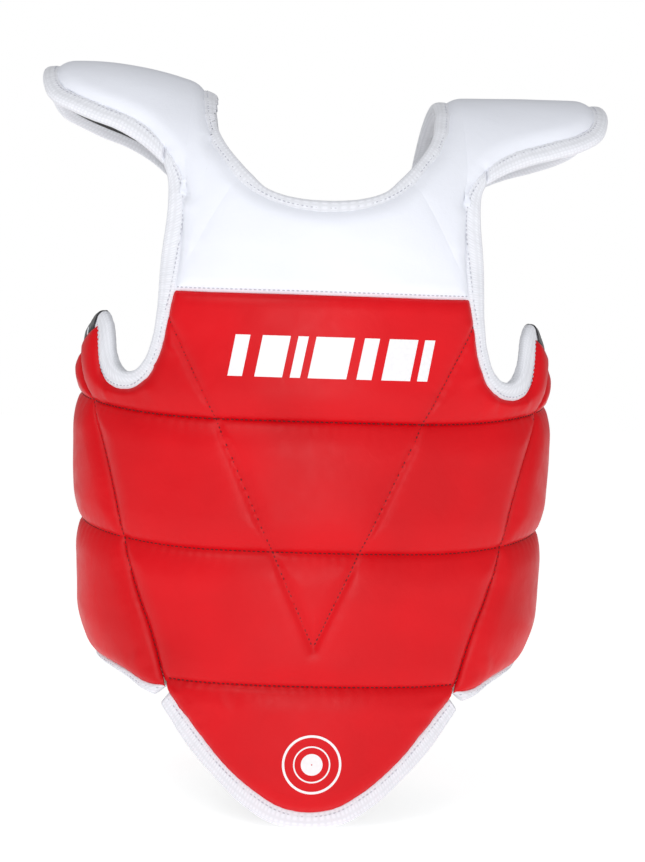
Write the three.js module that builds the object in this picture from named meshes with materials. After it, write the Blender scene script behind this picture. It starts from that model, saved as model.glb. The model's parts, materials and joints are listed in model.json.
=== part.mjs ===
// Chest protector for sparring: a padded front with two folding wings, a front flap and two
// shoulder caps, held by crossed elastic straps and two hook-and-loop belts at the back.
// Millimetres, +Z up, the front faces -Y, +X is the wearer's left. The origin is on the
// midline in the middle of the torso space, level with the upper quilt seam.
//
// Every soft piece is a flat pattern shape laid on one body form. A place on the form is
// [angle in degrees from the front midline, height in mm]. Above archStart the height runs
// on over the shoulder and down the back. Only the +X pieces are drawn, and mirrored for -X.

import * as THREE from 'three';
import { mergeVertices } from 'three/addons/utils/BufferGeometryUtils.js';

// --- driving dimensions: the body form ---
const torsoHalfWidth = 192;
const torsoHalfDepth = 108;
const archStart = 140;
const archRise = 124.5;
const archRun = 116;
const hemTaper = 0.05;
const taperLength = 260;
const sideRise = 24;
const underarmTaper = 0.05;
const hemTuck = 0.07;
const shoulderAngle = 37;
const neckSideWidth = 95;

// --- driving dimensions: the layers, counted outwards from the lining's inner face ---
const liningThick = 1.2;
const foamThick = 12.1;
const coverThick = 1.2;
const layerGap = 1.25;
const foamStart = liningThick + layerGap;
const coverStart = foamStart + foamThick + layerGap;
const padThick = coverStart + coverThick;

// --- driving dimensions: quilt seams and edges of the pattern ---
const yokeHeight = 104;
const lowerSeamHeight = -108;
const flapSeamHeight = -220;
const hemHeight = -219;
const neckDrop = 168;
const neckTop = 191;
const flapLength = 105;
const wingEndAngle = 150;
const wingTopHeight = -12;
const seamGap = 1.6;
const foamEdge = 6;
const shoulderFoamEdge = 15.6;
const edgeGap = 0.6;
const hingeGap = 2.4;
const flapGap = 8;

// --- driving dimensions: shoulder caps ---
const capStart = 135;
const leftCapReach = 97;
const rightCapReach = 92;
const leftTilt = 2;
const rightTilt = 21;
const levelReach = 107;
const capGap = 2.4;

// --- driving dimensions: binding, straps and belts ---
const bindingWidth = 13;
const bindingStart = 3.2;
const bindingEnd = 13.2;
const strapWidth = 38;
const strapThick = 1.6;
const strapSlant = 40;
const tabThick = 2.4;
const tabInside = 1.4;
const strapGap = 1.7;
const beltWidth = 44;
const beltThick = 2.2;
const hookThick = 1.2;
const beltHeights = { upper: -55, lower: -165 };
const beltEndAngle = 126;
const beltSewnAngle = 12;

// --- colours ---
const finishes = {
  red: { color: 0xc5121f, roughness: 0.42, metalness: 0 },
  white: { color: 0xeceff6, roughness: 0.45, metalness: 0 },
  binding: { color: 0xf4f5f7, roughness: 0.85, metalness: 0 },
  foam: { color: 0xd8d4c8, roughness: 0.95, metalness: 0 },
  lining: { color: 0x26272b, roughness: 0.9, metalness: 0 },
  elastic: { color: 0x1b1c1f, roughness: 0.9, metalness: 0 },
};

// --- the body form ---
const degrees = Math.PI / 180;
const archTop = archStart + archRun * Math.PI / 2;
const overShoulder = (height) => 2 * archTop - height;

function smooth(t) {
  const s = Math.min(1, Math.max(0, t));
  return s * s * (3 - 2 * s);
}

// The hems and seams climb towards the back, and the climb dies out below the shoulders.
function riseAt(angle, height) {
  const turned = Math.min(Math.abs(angle), 360 - Math.abs(angle));
  return sideRise * smooth((turned - 25) / 100) * (1 - smooth((height - 60) / 120));
}

// The sides draw in under the arms, and their lowest edge curls under.
function sizeAt(angle, height) {
  const turned = Math.min(Math.abs(angle), 360 - Math.abs(angle));
  const underarm = smooth((height - 10) / 80) * smooth((turned - 50) / 30);
  const hem = smooth((-height - 178) / 55) * smooth((turned - 38) / 30);
  const taper = hemTaper * smooth(-height / taperLength);
  return 1 - taper - underarmTaper * underarm - hemTuck * hem;
}

function form(angle, height) {
  const a = angle * degrees;
  const bend = Math.max(0, height - archStart) / archRun;
  const onShoulder = smooth((height - archStart + 20) / 60);
  const cosine = Math.cos(a);
  const wide = Math.sign(cosine) * Math.max(Math.abs(cosine), Math.cos(shoulderAngle * degrees));
  const depth = torsoHalfDepth * (cosine + (wide - cosine) * onShoulder);
  const size = sizeAt(angle, height);
  return new THREE.Vector3(
    torsoHalfWidth * size * Math.sin(a),
    -depth * size * Math.cos(bend),
    Math.min(height, archStart) + archRise * Math.sin(bend) + riseAt(angle, height),
  );
}

// A shoulder and its cap slope up from the side of the neck, by a tilt in degrees there that
// levels out towards the tip.
function lift(tilt, x, height) {
  const onArch = smooth((height - archStart - 10) / 70);
  const beyond = Math.max(0, x - neckSideWidth);
  return Math.tan(tilt * degrees) * (beyond - beyond ** 2 / (2 * levelReach)) * onArch;
}

function shoulderForm(tilt) {
  return (angle, height) => {
    const p = form(angle, height);
    p.z += lift(tilt, Math.abs(p.x), height);
    return p;
  };
}

// Both shoulders on one form, for what runs across the middle.
function bothShoulders(angle, height) {
  return shoulderForm(angle < 0 ? rightTilt : leftTilt)(angle, height);
}

// The cap's form carries the shoulder arch straight outwards.
function capForm(tilt) {
  const depth = torsoHalfDepth * Math.cos(shoulderAngle * degrees);
  return (across, height) => {
    const bend = (height - archStart) / archRun;
    return new THREE.Vector3(
      across,
      -depth * Math.cos(bend),
      archStart + archRise * Math.sin(bend) + lift(tilt, across, height),
    );
  };
}

function place(surface, across, height, offset) {
  const step = 0.05;
  const side = surface(across + step, height).sub(surface(across - step, height));
  const up = surface(across, height + step).sub(surface(across, height - step));
  const out = side.cross(up).normalize();
  return surface(across, height).addScaledVector(out, offset);
}

// --- pattern pieces ---
// An edge is a smooth curve in the flat (across, height), spaced evenly along its length.
function edge(...points) {
  const flat = points.map(([x, y]) => new THREE.Vector3(x, y, 0));
  return new THREE.CatmullRomCurve3(flat, false, 'centripetal');
}

function mirroredEdge(points) {
  const left = points.slice(1).reverse().map(([x, y]) => [-x, y]);
  return [...left, ...points];
}

// A four-sided patch between a bottom, a top, a left and a right edge.
function patch(bottom, top, left, right, columns, rows) {
  return { bottom, top, left, right, columns, rows };
}

function onPatch({ bottom, top, left, right }, u, v) {
  const point = new THREE.Vector3();
  point.addScaledVector(bottom.getPointAt(u), 1 - v);
  point.addScaledVector(top.getPointAt(u), v);
  point.addScaledVector(left.getPointAt(v), 1 - u);
  point.addScaledVector(right.getPointAt(v), u);
  point.addScaledVector(bottom.getPointAt(0), -(1 - u) * (1 - v));
  point.addScaledVector(bottom.getPointAt(1), -u * (1 - v));
  point.addScaledVector(top.getPointAt(0), -(1 - u) * v);
  point.addScaledVector(top.getPointAt(1), -u * v);
  return point;
}

// Moves a line of points sideways by an amount in mm, to its left when that is positive.
function moveEdge(points, amount) {
  return points.map(([x, y], i) => {
    const [x0, y0] = points[Math.max(0, i - 1)];
    const [x1, y1] = points[Math.min(points.length - 1, i + 1)];
    const perDegree = form(x + 0.5, y).distanceTo(form(x - 0.5, y));
    const run = new THREE.Vector2((x1 - x0) * perDegree, y1 - y0).normalize();
    return [x - run.y * amount / perDegree, y + run.x * amount];
  });
}

// Insets are in mm from the left, right, bottom and top edge of a patch.
const none = { left: 0, right: 0, bottom: 0, top: 0 };

function inset(amount, changes = {}) {
  return { left: amount, right: amount, bottom: amount, top: amount, ...changes };
}

function spread(surface, from, to) {
  return surface(from.x, from.y).distanceTo(surface(to.x, to.y));
}

// One closed solid: the patch between two offsets of the form, with its walls.
function slab(shape, surface, start, end, gaps = none) {
  const { columns, rows } = shape;
  const geometry = new THREE.BoxGeometry(1, 1, 1, columns, rows, 1);
  const position = geometry.attributes.position;
  for (let i = 0; i < position.count; i += 1) {
    const u = position.getX(i) + 0.5;
    const v = position.getY(i) + 0.5;
    const w = position.getZ(i) + 0.5;
    const wide = spread(surface, onPatch(shape, 0, v), onPatch(shape, 0.1, v)) / 0.1;
    const wideEnd = spread(surface, onPatch(shape, 0.9, v), onPatch(shape, 1, v)) / 0.1;
    const tall = spread(surface, onPatch(shape, u, 0), onPatch(shape, u, 0.1)) / 0.1;
    const tallEnd = spread(surface, onPatch(shape, u, 0.9), onPatch(shape, u, 1)) / 0.1;
    const across = gaps.left / wide * (1 - u) + u * (1 - gaps.right / wideEnd);
    const up = gaps.bottom / tall * (1 - v) + v * (1 - gaps.top / tallEnd);
    const spot = onPatch(shape, across, up);
    const p = place(surface, spot.x, spot.y, start + (end - start) * w);
    position.setXYZ(i, p.x, p.y, p.z);
  }
  return finish(geometry);
}

function finish(geometry) {
  geometry.deleteAttribute('normal');
  geometry.deleteAttribute('uv');
  const merged = mergeVertices(geometry, 1e-4);
  merged.computeVertexNormals();
  return merged;
}

function mirror(geometry) {
  const flipped = geometry.clone();
  flipped.scale(-1, 1, 1);
  const index = flipped.index;
  for (let i = 0; i < index.count; i += 3) {
    const first = index.getX(i);
    index.setX(i, index.getX(i + 1));
    index.setX(i + 1, first);
  }
  flipped.computeVertexNormals();
  return flipped;
}

// --- the group and its meshes ---
const protector = new THREE.Group();

function add(name, finishName, geometry) {
  const mesh = new THREE.Mesh(geometry, new THREE.MeshStandardMaterial(finishes[finishName]));
  mesh.name = name;
  protector.add(mesh);
}

function addPair(name, finishName, geometry) {
  add(`${name}_left`, finishName, geometry);
  add(`${name}_right`, finishName, mirror(geometry));
}

// Cover, foam and lining of one piece. The foam stands back from the seams.
function layers(shape, surface, foamGaps, skinGaps) {
  return {
    cover: slab(shape, surface, coverStart, padThick, skinGaps),
    foam: slab(shape, surface, foamStart, foamStart + foamThick, foamGaps),
    lining: slab(shape, surface, 0, liningThick, skinGaps),
  };
}

function foamBlock(shape, gaps) {
  return slab(shape, form, foamStart, foamStart + foamThick, gaps);
}

// --- pattern lines, drawn for the +X side ---
const neckSeam = [[0, neckDrop], [6, neckDrop + 1.5], [12, neckDrop + 6], [17, neckDrop + 13],
  [21.5, neckTop]];
const neckSide = [[21.5, neckTop], [25, 205], [29, 222], [32, 245], [33.5, 280], [34, archTop],
  [33, overShoulder(280)], [30.5, overShoulder(210)]];
const crease = [[21.5, neckTop], [28, 160], [34, 128], [38, yokeHeight]];
const armholeFront = [[38, yokeHeight], [36.6, 135], [36.8, 172], [39.5, 192], [44.7, 206]];
const shoulderOuter = [...armholeFront, [44.7, 240], [44.7, 280], [44.7, archTop],
  [44.7, overShoulder(280)], [44.7, overShoulder(206)]];
const armholeRed = [[38, yokeHeight], [40, 78], [41.2, 59], [43, 44], [46, 29]];
const armholeRear = [[46, 29], [51, 19], [56, 16.5], [61, 18.5], [65, 25], [67.5, 37], [69.5, 50],
  [71.5, 62]];
const slant = [[71, 0], [62.5, -38], [58, -72], [54.5, lowerSeamHeight]];
const slantChest = [[50, -145], [44.5, -182], [40, flapSeamHeight]];
const slantWing = [[50, -145], [44.5, -182], [39.5, -227]];
const hingeTop = [[71, 0], [79, 17], [88, 38]];
const hornTop = [[71.5, 62], [77, 57], [83, 47], [88, 38]];

const straight = (from, to) => edge(from, to);
const flipX = ([x, y]) => [-x, y];

// --- chest: rows of foam between the quilt seams ---
const upperPatch = patch(
  straight([-46, 0], [46, 0]),
  straight([-38, yokeHeight], [38, yokeHeight]),
  edge([-46, 0], ...[...armholeRed].reverse().map(flipX)),
  edge([46, 0], ...[...armholeRed].reverse()),
  15, 6,
);
const middlePatch = patch(
  straight([-54.5, lowerSeamHeight], [54.5, lowerSeamHeight]),
  straight([-71, 0], [71, 0]),
  edge(...[...slant].reverse().map(flipX)),
  edge(...[...slant].reverse()),
  22, 3,
);
const lowerPatch = patch(
  straight([-40, flapSeamHeight], [40, flapSeamHeight]),
  straight([-54.5, lowerSeamHeight], [54.5, lowerSeamHeight]),
  edge(...[[54.5, lowerSeamHeight], ...slantChest].reverse().map(flipX)),
  edge(...[[54.5, lowerSeamHeight], ...slantChest].reverse()),
  16, 3,
);
const sideTop = [...armholeRear, ...hornTop.slice(1)];
const sidePatch = patch(
  straight([46, 0], [71, 0]),
  edge(...sideTop),
  straight([46, 0], [46, 29]),
  edge(...hingeTop),
  12, 3,
);
// The two lower rows share one cover and one lining; each row has its own foam.
const bellyPatch = patch(
  lowerPatch.bottom,
  middlePatch.top,
  edge(...[...slant, ...slantChest].reverse().map(flipX)),
  edge(...[...slant, ...slantChest].reverse()),
  22, 6,
);
const hingeSide = { left: hingeGap, right: hingeGap };
const aboveFlap = { ...hingeSide, bottom: flapGap / 2 };
const upper = layers(upperPatch, form, inset(seamGap), inset(edgeGap));
const belly = layers(bellyPatch, form, inset(seamGap, aboveFlap), inset(edgeGap, aboveFlap));
add('chest_cover_upper', 'red', upper.cover);
add('chest_cover_lower', 'red', belly.cover);
add('chest_foam_upper', 'foam', upper.foam);
add('chest_foam_middle', 'foam', foamBlock(middlePatch, inset(seamGap, hingeSide)));
add('chest_foam_lower', 'foam', foamBlock(lowerPatch, inset(seamGap, aboveFlap)));
add('chest_lining_upper', 'lining', upper.lining);
add('chest_lining_lower', 'lining', belly.lining);
const atHinge = { right: hingeGap };
const sideGaps = inset(edgeGap, atHinge);
const sideFoamTop = [[46, 29 - foamEdge], ...moveEdge(sideTop, -foamEdge).slice(1)];
const sideFoamPatch = patch(
  straight([46, 0], [71, 0]),
  edge(...sideFoamTop),
  straight([46, 0], sideFoamTop[0]),
  edge([71, 0], [79, 17], sideFoamTop.at(-1)),
  12, 3,
);
addPair('side_cover', 'red', slab(sidePatch, form, coverStart, padThick, sideGaps));
addPair('side_foam', 'foam', foamBlock(sideFoamPatch, inset(seamGap, atHinge)));
addPair('side_lining', 'lining', slab(sidePatch, form, 0, liningThick, sideGaps));

// --- yoke and shoulders ---
const yokePatch = patch(
  straight([-38, yokeHeight], [38, yokeHeight]),
  edge(...mirroredEdge(neckSeam)),
  edge(...[...crease].reverse().map(flipX)),
  edge(...[...crease].reverse()),
  14, 4,
);
const shoulderPatch = patch(
  edge(...crease),
  straight([30.5, overShoulder(210)], [44.7, overShoulder(206)]),
  edge(...neckSide),
  edge(...shoulderOuter),
  4, 24,
);
const yoke = layers(yokePatch, form, inset(seamGap), inset(edgeGap));
add('yoke_cover', 'white', yoke.cover);
add('yoke_foam', 'foam', yoke.foam);
add('yoke_lining', 'lining', yoke.lining);
const shoulderFoamGaps = inset(seamGap, { right: shoulderFoamEdge, left: foamEdge / 2 });

function addShoulder(name, tilt, turn) {
  const surface = shoulderForm(tilt);
  const parts = layers(shoulderPatch, surface, shoulderFoamGaps, inset(edgeGap));
  add(`shoulder_cover_${name}`, 'white', turn(parts.cover));
  add(`shoulder_foam_${name}`, 'foam', turn(parts.foam));
  add(`shoulder_lining_${name}`, 'lining', turn(parts.lining));
}

addShoulder('left', leftTilt, (geometry) => geometry);
addShoulder('right', rightTilt, mirror);

// --- shoulder caps ---
// A cap is drawn in [distance from the midline, height along the arch].
function capShapes(reach) {
  const tip = capStart + reach;
  const back = ([x, y]) => [x, overShoulder(y)];
  const front = [[capStart, 208], [capStart + 14, 218], [capStart + 36, 228],
    [capStart + 55, 235], [tip - 21, 243], [tip - 7, 254]];
  const side = [[tip - 7, 254], [tip - 1, 270], [tip, archTop]];
  const wholeSide = [...side, ...side.slice(0, -1).reverse().map(back)];
  const outerFront = [[capStart, 197], [capStart + 15, 205], [capStart + 38, 215],
    [capStart + 60, 222], [tip - 15, 231], [tip + 3, 245], [tip + 11, 268],
    [tip + bindingWidth, archTop]];
  const seam = [...front, ...wholeSide.slice(1, -1), ...[...front].reverse().map(back)];
  const outer = [...outerFront, ...outerFront.slice(0, -1).reverse().map(back)];
  return {
    pad: patch(
      edge(...front),
      edge(...front.map(back)),
      straight(front[0], back(front[0])),
      edge(...wholeSide),
      5, 12,
    ),
    tape: patch(
      edge(...outer),
      edge(...seam),
      straight(outer[0], seam[0]),
      straight(back(outer[0]), back(seam[0])),
      26, 1,
    ),
  };
}

function addCap(name, tilt, reach, turn) {
  const surface = capForm(tilt);
  const { pad, tape } = capShapes(reach);
  const gap = { left: capGap };
  const { cover, foam, lining } = layers(pad, surface, inset(seamGap, gap), inset(edgeGap, gap));
  const taped = slab(tape, surface, bindingStart, bindingEnd, inset(edgeGap, gap));
  add(`cap_cover_${name}`, 'white', turn(cover));
  add(`cap_foam_${name}`, 'foam', turn(foam));
  add(`cap_lining_${name}`, 'lining', turn(lining));
  add(`cap_binding_${name}`, 'binding', turn(taped));
}

addCap('left', leftTilt, leftCapReach, (geometry) => geometry);
addCap('right', rightTilt, rightCapReach, mirror);

// --- wings ---
const wingHem = [[39.5, -227], [46, -227], [58, -220], [75, hemHeight], [110, hemHeight],
  [wingEndAngle - 10, hemHeight], [wingEndAngle - 3, hemHeight + 5]];
const wingDrop = [[88, 38], [94, 23], [101, 8]];
const wingTop = [...wingDrop, [110, wingTopHeight + 6], [124, wingTopHeight],
  [wingEndAngle - 10, wingTopHeight], [wingEndAngle - 3, wingTopHeight - 5]];
const wingRear = [[wingEndAngle - 3, wingTopHeight - 5], [wingEndAngle, wingTopHeight - 15],
  [wingEndAngle, -100], [wingEndAngle, hemHeight + 15], [wingEndAngle - 3, hemHeight + 5]];
const wingFront = [...[...hingeTop].reverse(), ...slant.slice(1), ...slantWing];
const wingPatch = patch(
  edge(...wingHem),
  edge(...wingTop),
  edge(...[...wingFront].reverse()),
  edge(...[...wingRear].reverse()),
  14, 16,
);
const rowGaps = { left: hingeGap / 2, right: seamGap };
const wingGaps = { left: hingeGap / 2 };
const wing = layers(wingPatch, form, inset(seamGap, wingGaps), inset(edgeGap, wingGaps));
addPair('wing_cover', 'red', wing.cover);
addPair('wing_lining', 'lining', wing.lining);
const wingUpperPatch = patch(
  straight([71, 0], [101, 0]),
  edge(...wingDrop),
  edge(...hingeTop),
  straight([101, 0], [101, 8]),
  8, 3,
);
const wingMiddleTop = [[71, 0], [101, 0], [112, wingTopHeight + 2], [124, wingTopHeight],
  [wingEndAngle - 10, wingTopHeight], [wingEndAngle - 1, wingTopHeight - 8]];
const wingMiddlePatch = patch(
  straight([54.5, lowerSeamHeight], [wingEndAngle, lowerSeamHeight]),
  edge(...wingMiddleTop),
  edge(...[...slant].reverse()),
  straight([wingEndAngle, lowerSeamHeight], [wingEndAngle - 1, wingTopHeight - 8]),
  14, 3,
);
const wingLowerPatch = patch(
  edge(...wingHem),
  straight([54.5, lowerSeamHeight], [wingEndAngle, lowerSeamHeight]),
  edge(...[[54.5, lowerSeamHeight], ...slantWing].reverse()),
  edge([wingEndAngle - 3, hemHeight + 5], [wingEndAngle, hemHeight + 15],
    [wingEndAngle, lowerSeamHeight]),
  16, 3,
);
addPair('wing_foam_upper', 'foam', foamBlock(wingUpperPatch, inset(seamGap, rowGaps)));
addPair('wing_foam_middle', 'foam', foamBlock(wingMiddlePatch, inset(seamGap, rowGaps)));
addPair('wing_foam_lower', 'foam', foamBlock(wingLowerPatch, inset(seamGap, rowGaps)));

// --- flap ---
const flapTop = flapSeamHeight - flapGap / 2;
const flapTip = flapSeamHeight - flapLength;
const flapSide = [[14, flapTip + 17], [23, -284], [31, -256], [37, -236], [39, flapTop - 3]];
const flapHem = [[14, flapTip + 17], [6, flapTip + 3], [0, flapTip]];
const flapPatch = patch(
  edge(...mirroredEdge([...flapHem].reverse())),
  straight([-39, flapTop - 3], [39, flapTop - 3]),
  edge(...flapSide.map(flipX)),
  edge(...flapSide),
  14, 5,
);
const flap = layers(flapPatch, form, inset(seamGap), inset(edgeGap));
add('flap_cover', 'red', flap.cover);
add('flap_foam', 'foam', flap.foam);
add('flap_lining', 'lining', flap.lining);

// --- binding tapes, folded over the cut edges ---
function binding(inner, outer, columns, surface = form) {
  return slab(
    patch(
      edge(...inner),
      edge(...outer),
      straight(inner[0], outer[0]),
      straight(inner[inner.length - 1], outer[outer.length - 1]),
      columns, 1,
    ),
    surface, bindingStart, bindingEnd, inset(edgeGap),
  );
}

const neckHole = [[0, neckDrop + 9], [8, neckDrop + 11], [14, neckDrop + 17], [18, neckDrop + 28],
  [21.5, 208], [25, 223], [27.5, 240], [28.5, 258], [29.5, 282], [29.5, archTop],
  [28.5, overShoulder(282)], [26, overShoulder(212)]];
const neckRed = mirroredEdge([...neckSeam, ...neckSide.slice(1)]);
add('neck_binding', 'binding', binding(neckRed, mirroredEdge(neckHole), 44, bothShoulders));

const armholeInner = [...[...armholeFront].reverse(), ...armholeRed.slice(1),
  ...armholeRear.slice(1), ...hornTop.slice(1)];
const armholeHole = [[44.7, 196], [43.2, 188], [42.6, 172], [42.8, 135], [43.2, 100], [43.8, 78],
  [45.2, 58], [48, 41], [51.5, 33], [55, 31.5], [58, 35], [60.5, 46], [62, 59], [64.5, 71],
  [69, 77], [74, 73], [80, 64], [85, 56], [88, 51]];
add('armhole_binding_left', 'binding',
  binding(armholeInner, armholeHole, 40, shoulderForm(leftTilt)));
add('armhole_binding_right', 'binding',
  mirror(binding(armholeInner, armholeHole, 40, shoulderForm(rightTilt))));

const wingEdge = [...wingTop, ...wingRear.slice(1), ...wingHem.slice(0, -1).reverse()];
const wingOuter = [[88, 51], [97, 34], [104, 18], [112, 7], [124, wingTopHeight + 13],
  [wingEndAngle - 8, wingTopHeight + 13],
  [wingEndAngle + 2, wingTopHeight + 4], [wingEndAngle + 6, wingTopHeight - 12],
  [wingEndAngle + 6, -100], [wingEndAngle + 6, hemHeight + 10],
  [wingEndAngle + 2, hemHeight - 6], [wingEndAngle - 8, hemHeight - 11], [110, hemHeight - 9],
  [75, hemHeight - 6.5], [58, -226.5], [48, -233.5], [43.5, -236]];
addPair('wing_binding', 'binding', binding(wingEdge, wingOuter, 52));

const flapOuter = [[0, flapTip - 13], [8, flapTip - 10.5], [16, flapTip + 3], [25, -297],
  [32.5, -274], [38.5, -252], [41, -242]];
const flapInner = [...[...flapHem].reverse(), ...flapSide.slice(1, -1), [38.4, -232]];
add('flap_binding', 'binding', binding(mirroredEdge(flapOuter), mirroredEdge(flapInner), 34));

// --- back straps: a white tab under each shoulder, then elastic to the opposite side ---
function band(from, to, halfWidth, columns) {
  const lower = [from, to].map(([x, y]) => [x, y - halfWidth]);
  const upper = [from, to].map(([x, y]) => [x, y + halfWidth]);
  return patch(edge(...lower), edge(...upper), straight(lower[0], upper[0]),
    straight(lower[1], upper[1]), columns, 1);
}

const tabPatch = patch(
  straight([146, 160], [160, 172]),
  straight([136, 222], [146, 222]),
  straight([146, 160], [136, 222]),
  straight([160, 172], [146, 222]),
  4, 4,
);
addPair('shoulder_tab', 'white', slab(tabPatch, form, -tabInside - tabThick, -tabInside));
const strapTop = [152, 176];
const strapEnd = [228, -34];
const strapHalf = strapWidth / 2 / Math.cos(strapSlant * degrees);
const strapPatch = band(strapTop, strapEnd, strapHalf, 20);
const leftStrapOut = -tabInside - tabThick - strapGap;
const rightStrapOut = leftStrapOut - strapThick - strapGap;
add('cross_strap_left', 'elastic',
  slab(strapPatch, form, leftStrapOut - strapThick, leftStrapOut));
add('cross_strap_right', 'elastic',
  mirror(slab(strapPatch, form, rightStrapOut - strapThick, rightStrapOut)));
const crossShare = (180 - strapTop[0]) / (strapEnd[0] - strapTop[0]);
const crossHeight = strapTop[1] + (strapEnd[1] - strapTop[1]) * crossShare;
const crossPatch = band([173, crossHeight], [187, crossHeight], strapWidth / 2, 3);
add('cross_patch', 'white', slab(crossPatch, form, -tabInside - tabThick, -tabInside));

// --- hook-and-loop belts, sewn to the right wing and pressed onto the left wing ---
const rightWingEnd = 360 - wingEndAngle;
const loopStart = padThick + layerGap / 2;
const beltStart = loopStart + hookThick + layerGap;
for (const [name, height] of Object.entries(beltHeights)) {
  const half = beltWidth / 2;
  const free = band([beltEndAngle, height], [rightWingEnd - 0.5, height], half, 14);
  const sewn = band([rightWingEnd + 0.5, height], [rightWingEnd + beltSewnAngle, height], half, 3);
  const loop = band([beltEndAngle + 2, height], [wingEndAngle - 3, height], half, 5);
  add(`belt_${name}`, 'elastic', slab(free, form, beltStart, beltStart + beltThick));
  add(`belt_end_${name}`, 'elastic', slab(sewn, form, loopStart, beltStart + beltThick));
  add(`loop_patch_${name}`, 'elastic', slab(loop, form, loopStart, loopStart + hookThick));
}

export default protector;
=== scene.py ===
"""Padded chest protector for sparring: its soft surfaces, tapes, straps, stitches and stage.

The pattern is drawn on the same body form as the frame. A place on it is [angle in degrees
from the front midline, height in mm], and an offset in mm outwards from the lining's inside.
Millimetres are used for the pattern, and metres for everything handed to Blender.
"""

import json
import math

import bmesh
import bpy
import numpy as np
from mathutils import Matrix, Vector


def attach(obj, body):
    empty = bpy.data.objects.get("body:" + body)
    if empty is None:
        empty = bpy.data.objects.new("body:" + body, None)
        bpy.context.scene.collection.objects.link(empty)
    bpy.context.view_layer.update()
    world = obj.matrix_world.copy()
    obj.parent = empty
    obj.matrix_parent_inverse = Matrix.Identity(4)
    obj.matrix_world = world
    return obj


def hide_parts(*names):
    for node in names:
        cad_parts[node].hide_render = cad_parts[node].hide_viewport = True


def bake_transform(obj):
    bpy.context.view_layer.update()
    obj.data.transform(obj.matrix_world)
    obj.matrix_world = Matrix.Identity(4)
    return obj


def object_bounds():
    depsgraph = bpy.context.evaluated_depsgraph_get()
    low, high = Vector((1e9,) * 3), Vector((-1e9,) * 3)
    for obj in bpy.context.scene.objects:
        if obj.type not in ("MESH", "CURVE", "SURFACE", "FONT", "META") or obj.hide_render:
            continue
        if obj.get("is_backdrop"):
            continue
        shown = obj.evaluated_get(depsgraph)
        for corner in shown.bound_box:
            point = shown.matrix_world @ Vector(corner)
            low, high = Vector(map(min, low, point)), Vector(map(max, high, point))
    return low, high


bl_info = {
    "name": "Padded chest protector",
    "version": (1, 0, 0),
    "blender": (4, 5, 0),
    "location": "3D View > Sidebar > Protector",
    "description": "Builds the padding, tapes, straps and stitches of a chest protector",
    "category": "Object",
}

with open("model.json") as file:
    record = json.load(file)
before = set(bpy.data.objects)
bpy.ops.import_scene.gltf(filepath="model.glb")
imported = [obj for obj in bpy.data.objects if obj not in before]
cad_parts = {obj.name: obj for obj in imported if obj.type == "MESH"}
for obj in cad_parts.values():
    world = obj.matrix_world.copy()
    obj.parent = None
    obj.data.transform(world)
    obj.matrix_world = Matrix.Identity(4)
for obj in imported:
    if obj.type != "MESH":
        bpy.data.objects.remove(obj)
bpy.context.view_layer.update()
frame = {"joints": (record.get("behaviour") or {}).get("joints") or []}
MM = 0.001


# --- colours ---
def linear(hex_colour):
    """An sRGB hex colour as linear red, green and blue."""
    parts = [int(hex_colour[i : i + 2], 16) / 255 for i in (1, 3, 5)]
    return tuple(c / 12.92 if c <= 0.04045 else ((c + 0.055) / 1.055) ** 2.4 for c in parts)


def length_prop(label, text, default, high):
    """A size in metres for the panel, given in millimetres."""
    return bpy.props.FloatProperty(
        name=label, description=text, default=default * MM, min=0.0, max=high * MM,
        unit="LENGTH", precision=4,
    )


def colour_prop(label, text, hex_colour):
    """A colour for the panel, given as sRGB hex."""
    return bpy.props.FloatVectorProperty(
        name=label, description=text, default=linear(hex_colour), min=0.0, max=1.0,
        size=3, subtype="COLOR",
    )


class ProtectorSizes(bpy.types.PropertyGroup):
    """Sizes of the sewn detail."""

    mesh_step: length_prop("Mesh step", "Distance between the points of a cover", 2.0, 10)
    seam_depth: length_prop("Quilt depth", "How deep the level quilt seams sink", 7.6, 9)
    chevron_depth: length_prop("Chevron depth", "How deep the V seams sink", 3.0, 6)
    slant_depth: length_prop("Slant depth", "How deep the folding seams sink", 5.6, 8)
    edge_depth: length_prop("Edge depth", "How far a cover sinks to its tape", 4.6, 8)
    stitch_pitch: length_prop("Stitch pitch", "Distance from stitch to stitch", 3.9, 8)
    stitch_length: length_prop("Stitch length", "Thread showing in one stitch", 2.7, 6)
    thread_width: length_prop("Thread width", "Width of the sewing thread", 1.1, 2)
    tape_lip: length_prop("Tape lip", "How far a tape laps over the cover", 2.6, 6)


class ProtectorColours(bpy.types.PropertyGroup):
    """Colours of the materials."""

    red: colour_prop("Red vinyl", "Coated vinyl of the front and wings", "#D80514")
    red_deep: colour_prop("Red vinyl, deep", "Its darker clouding", "#C90310")
    white: colour_prop("White vinyl", "Coated vinyl of the yoke and shoulders", "#ECEFF8")
    tape: colour_prop("Binding tape", "Folded tape on the edges", "#E9EBF2")
    foam: colour_prop("Foam", "Closed-cell foam inside", "#D9D5C9")
    lining: colour_prop("Lining", "Woven nylon inside", "#1B1C20")
    elastic: colour_prop("Elastic", "Straps and belts", "#15161A")
    pile: colour_prop("Loop pile", "Patches that the belts hold on", "#1D1E22")
    red_thread: colour_prop("Red thread", "Stitches in the red vinyl", "#4C0610")
    white_thread: colour_prop("White thread", "Stitches in the tape", "#C9CBD6")
    ink: colour_prop("Print", "Screen-printed marks", "#F2F2F4")


def sizes():
    return bpy.context.scene.protector_sizes


def colours():
    return bpy.context.scene.protector_colours


# --- the body form, in mm ---
HALF_WIDTH = 192.0
HALF_DEPTH = 108.0
ARCH_START = 140.0
ARCH_RISE = 124.5
ARCH_RUN = 116.0
ARCH_TOP = ARCH_START + ARCH_RUN * math.pi / 2
SHOULDER_COSINE = math.cos(math.radians(37))
LEFT_TILT = 2.0
RIGHT_TILT = 21.0
NECK_SIDE = 95.0
LEVEL_REACH = 107.0
CAP_START = 135.0
PAD = 17.0


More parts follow.
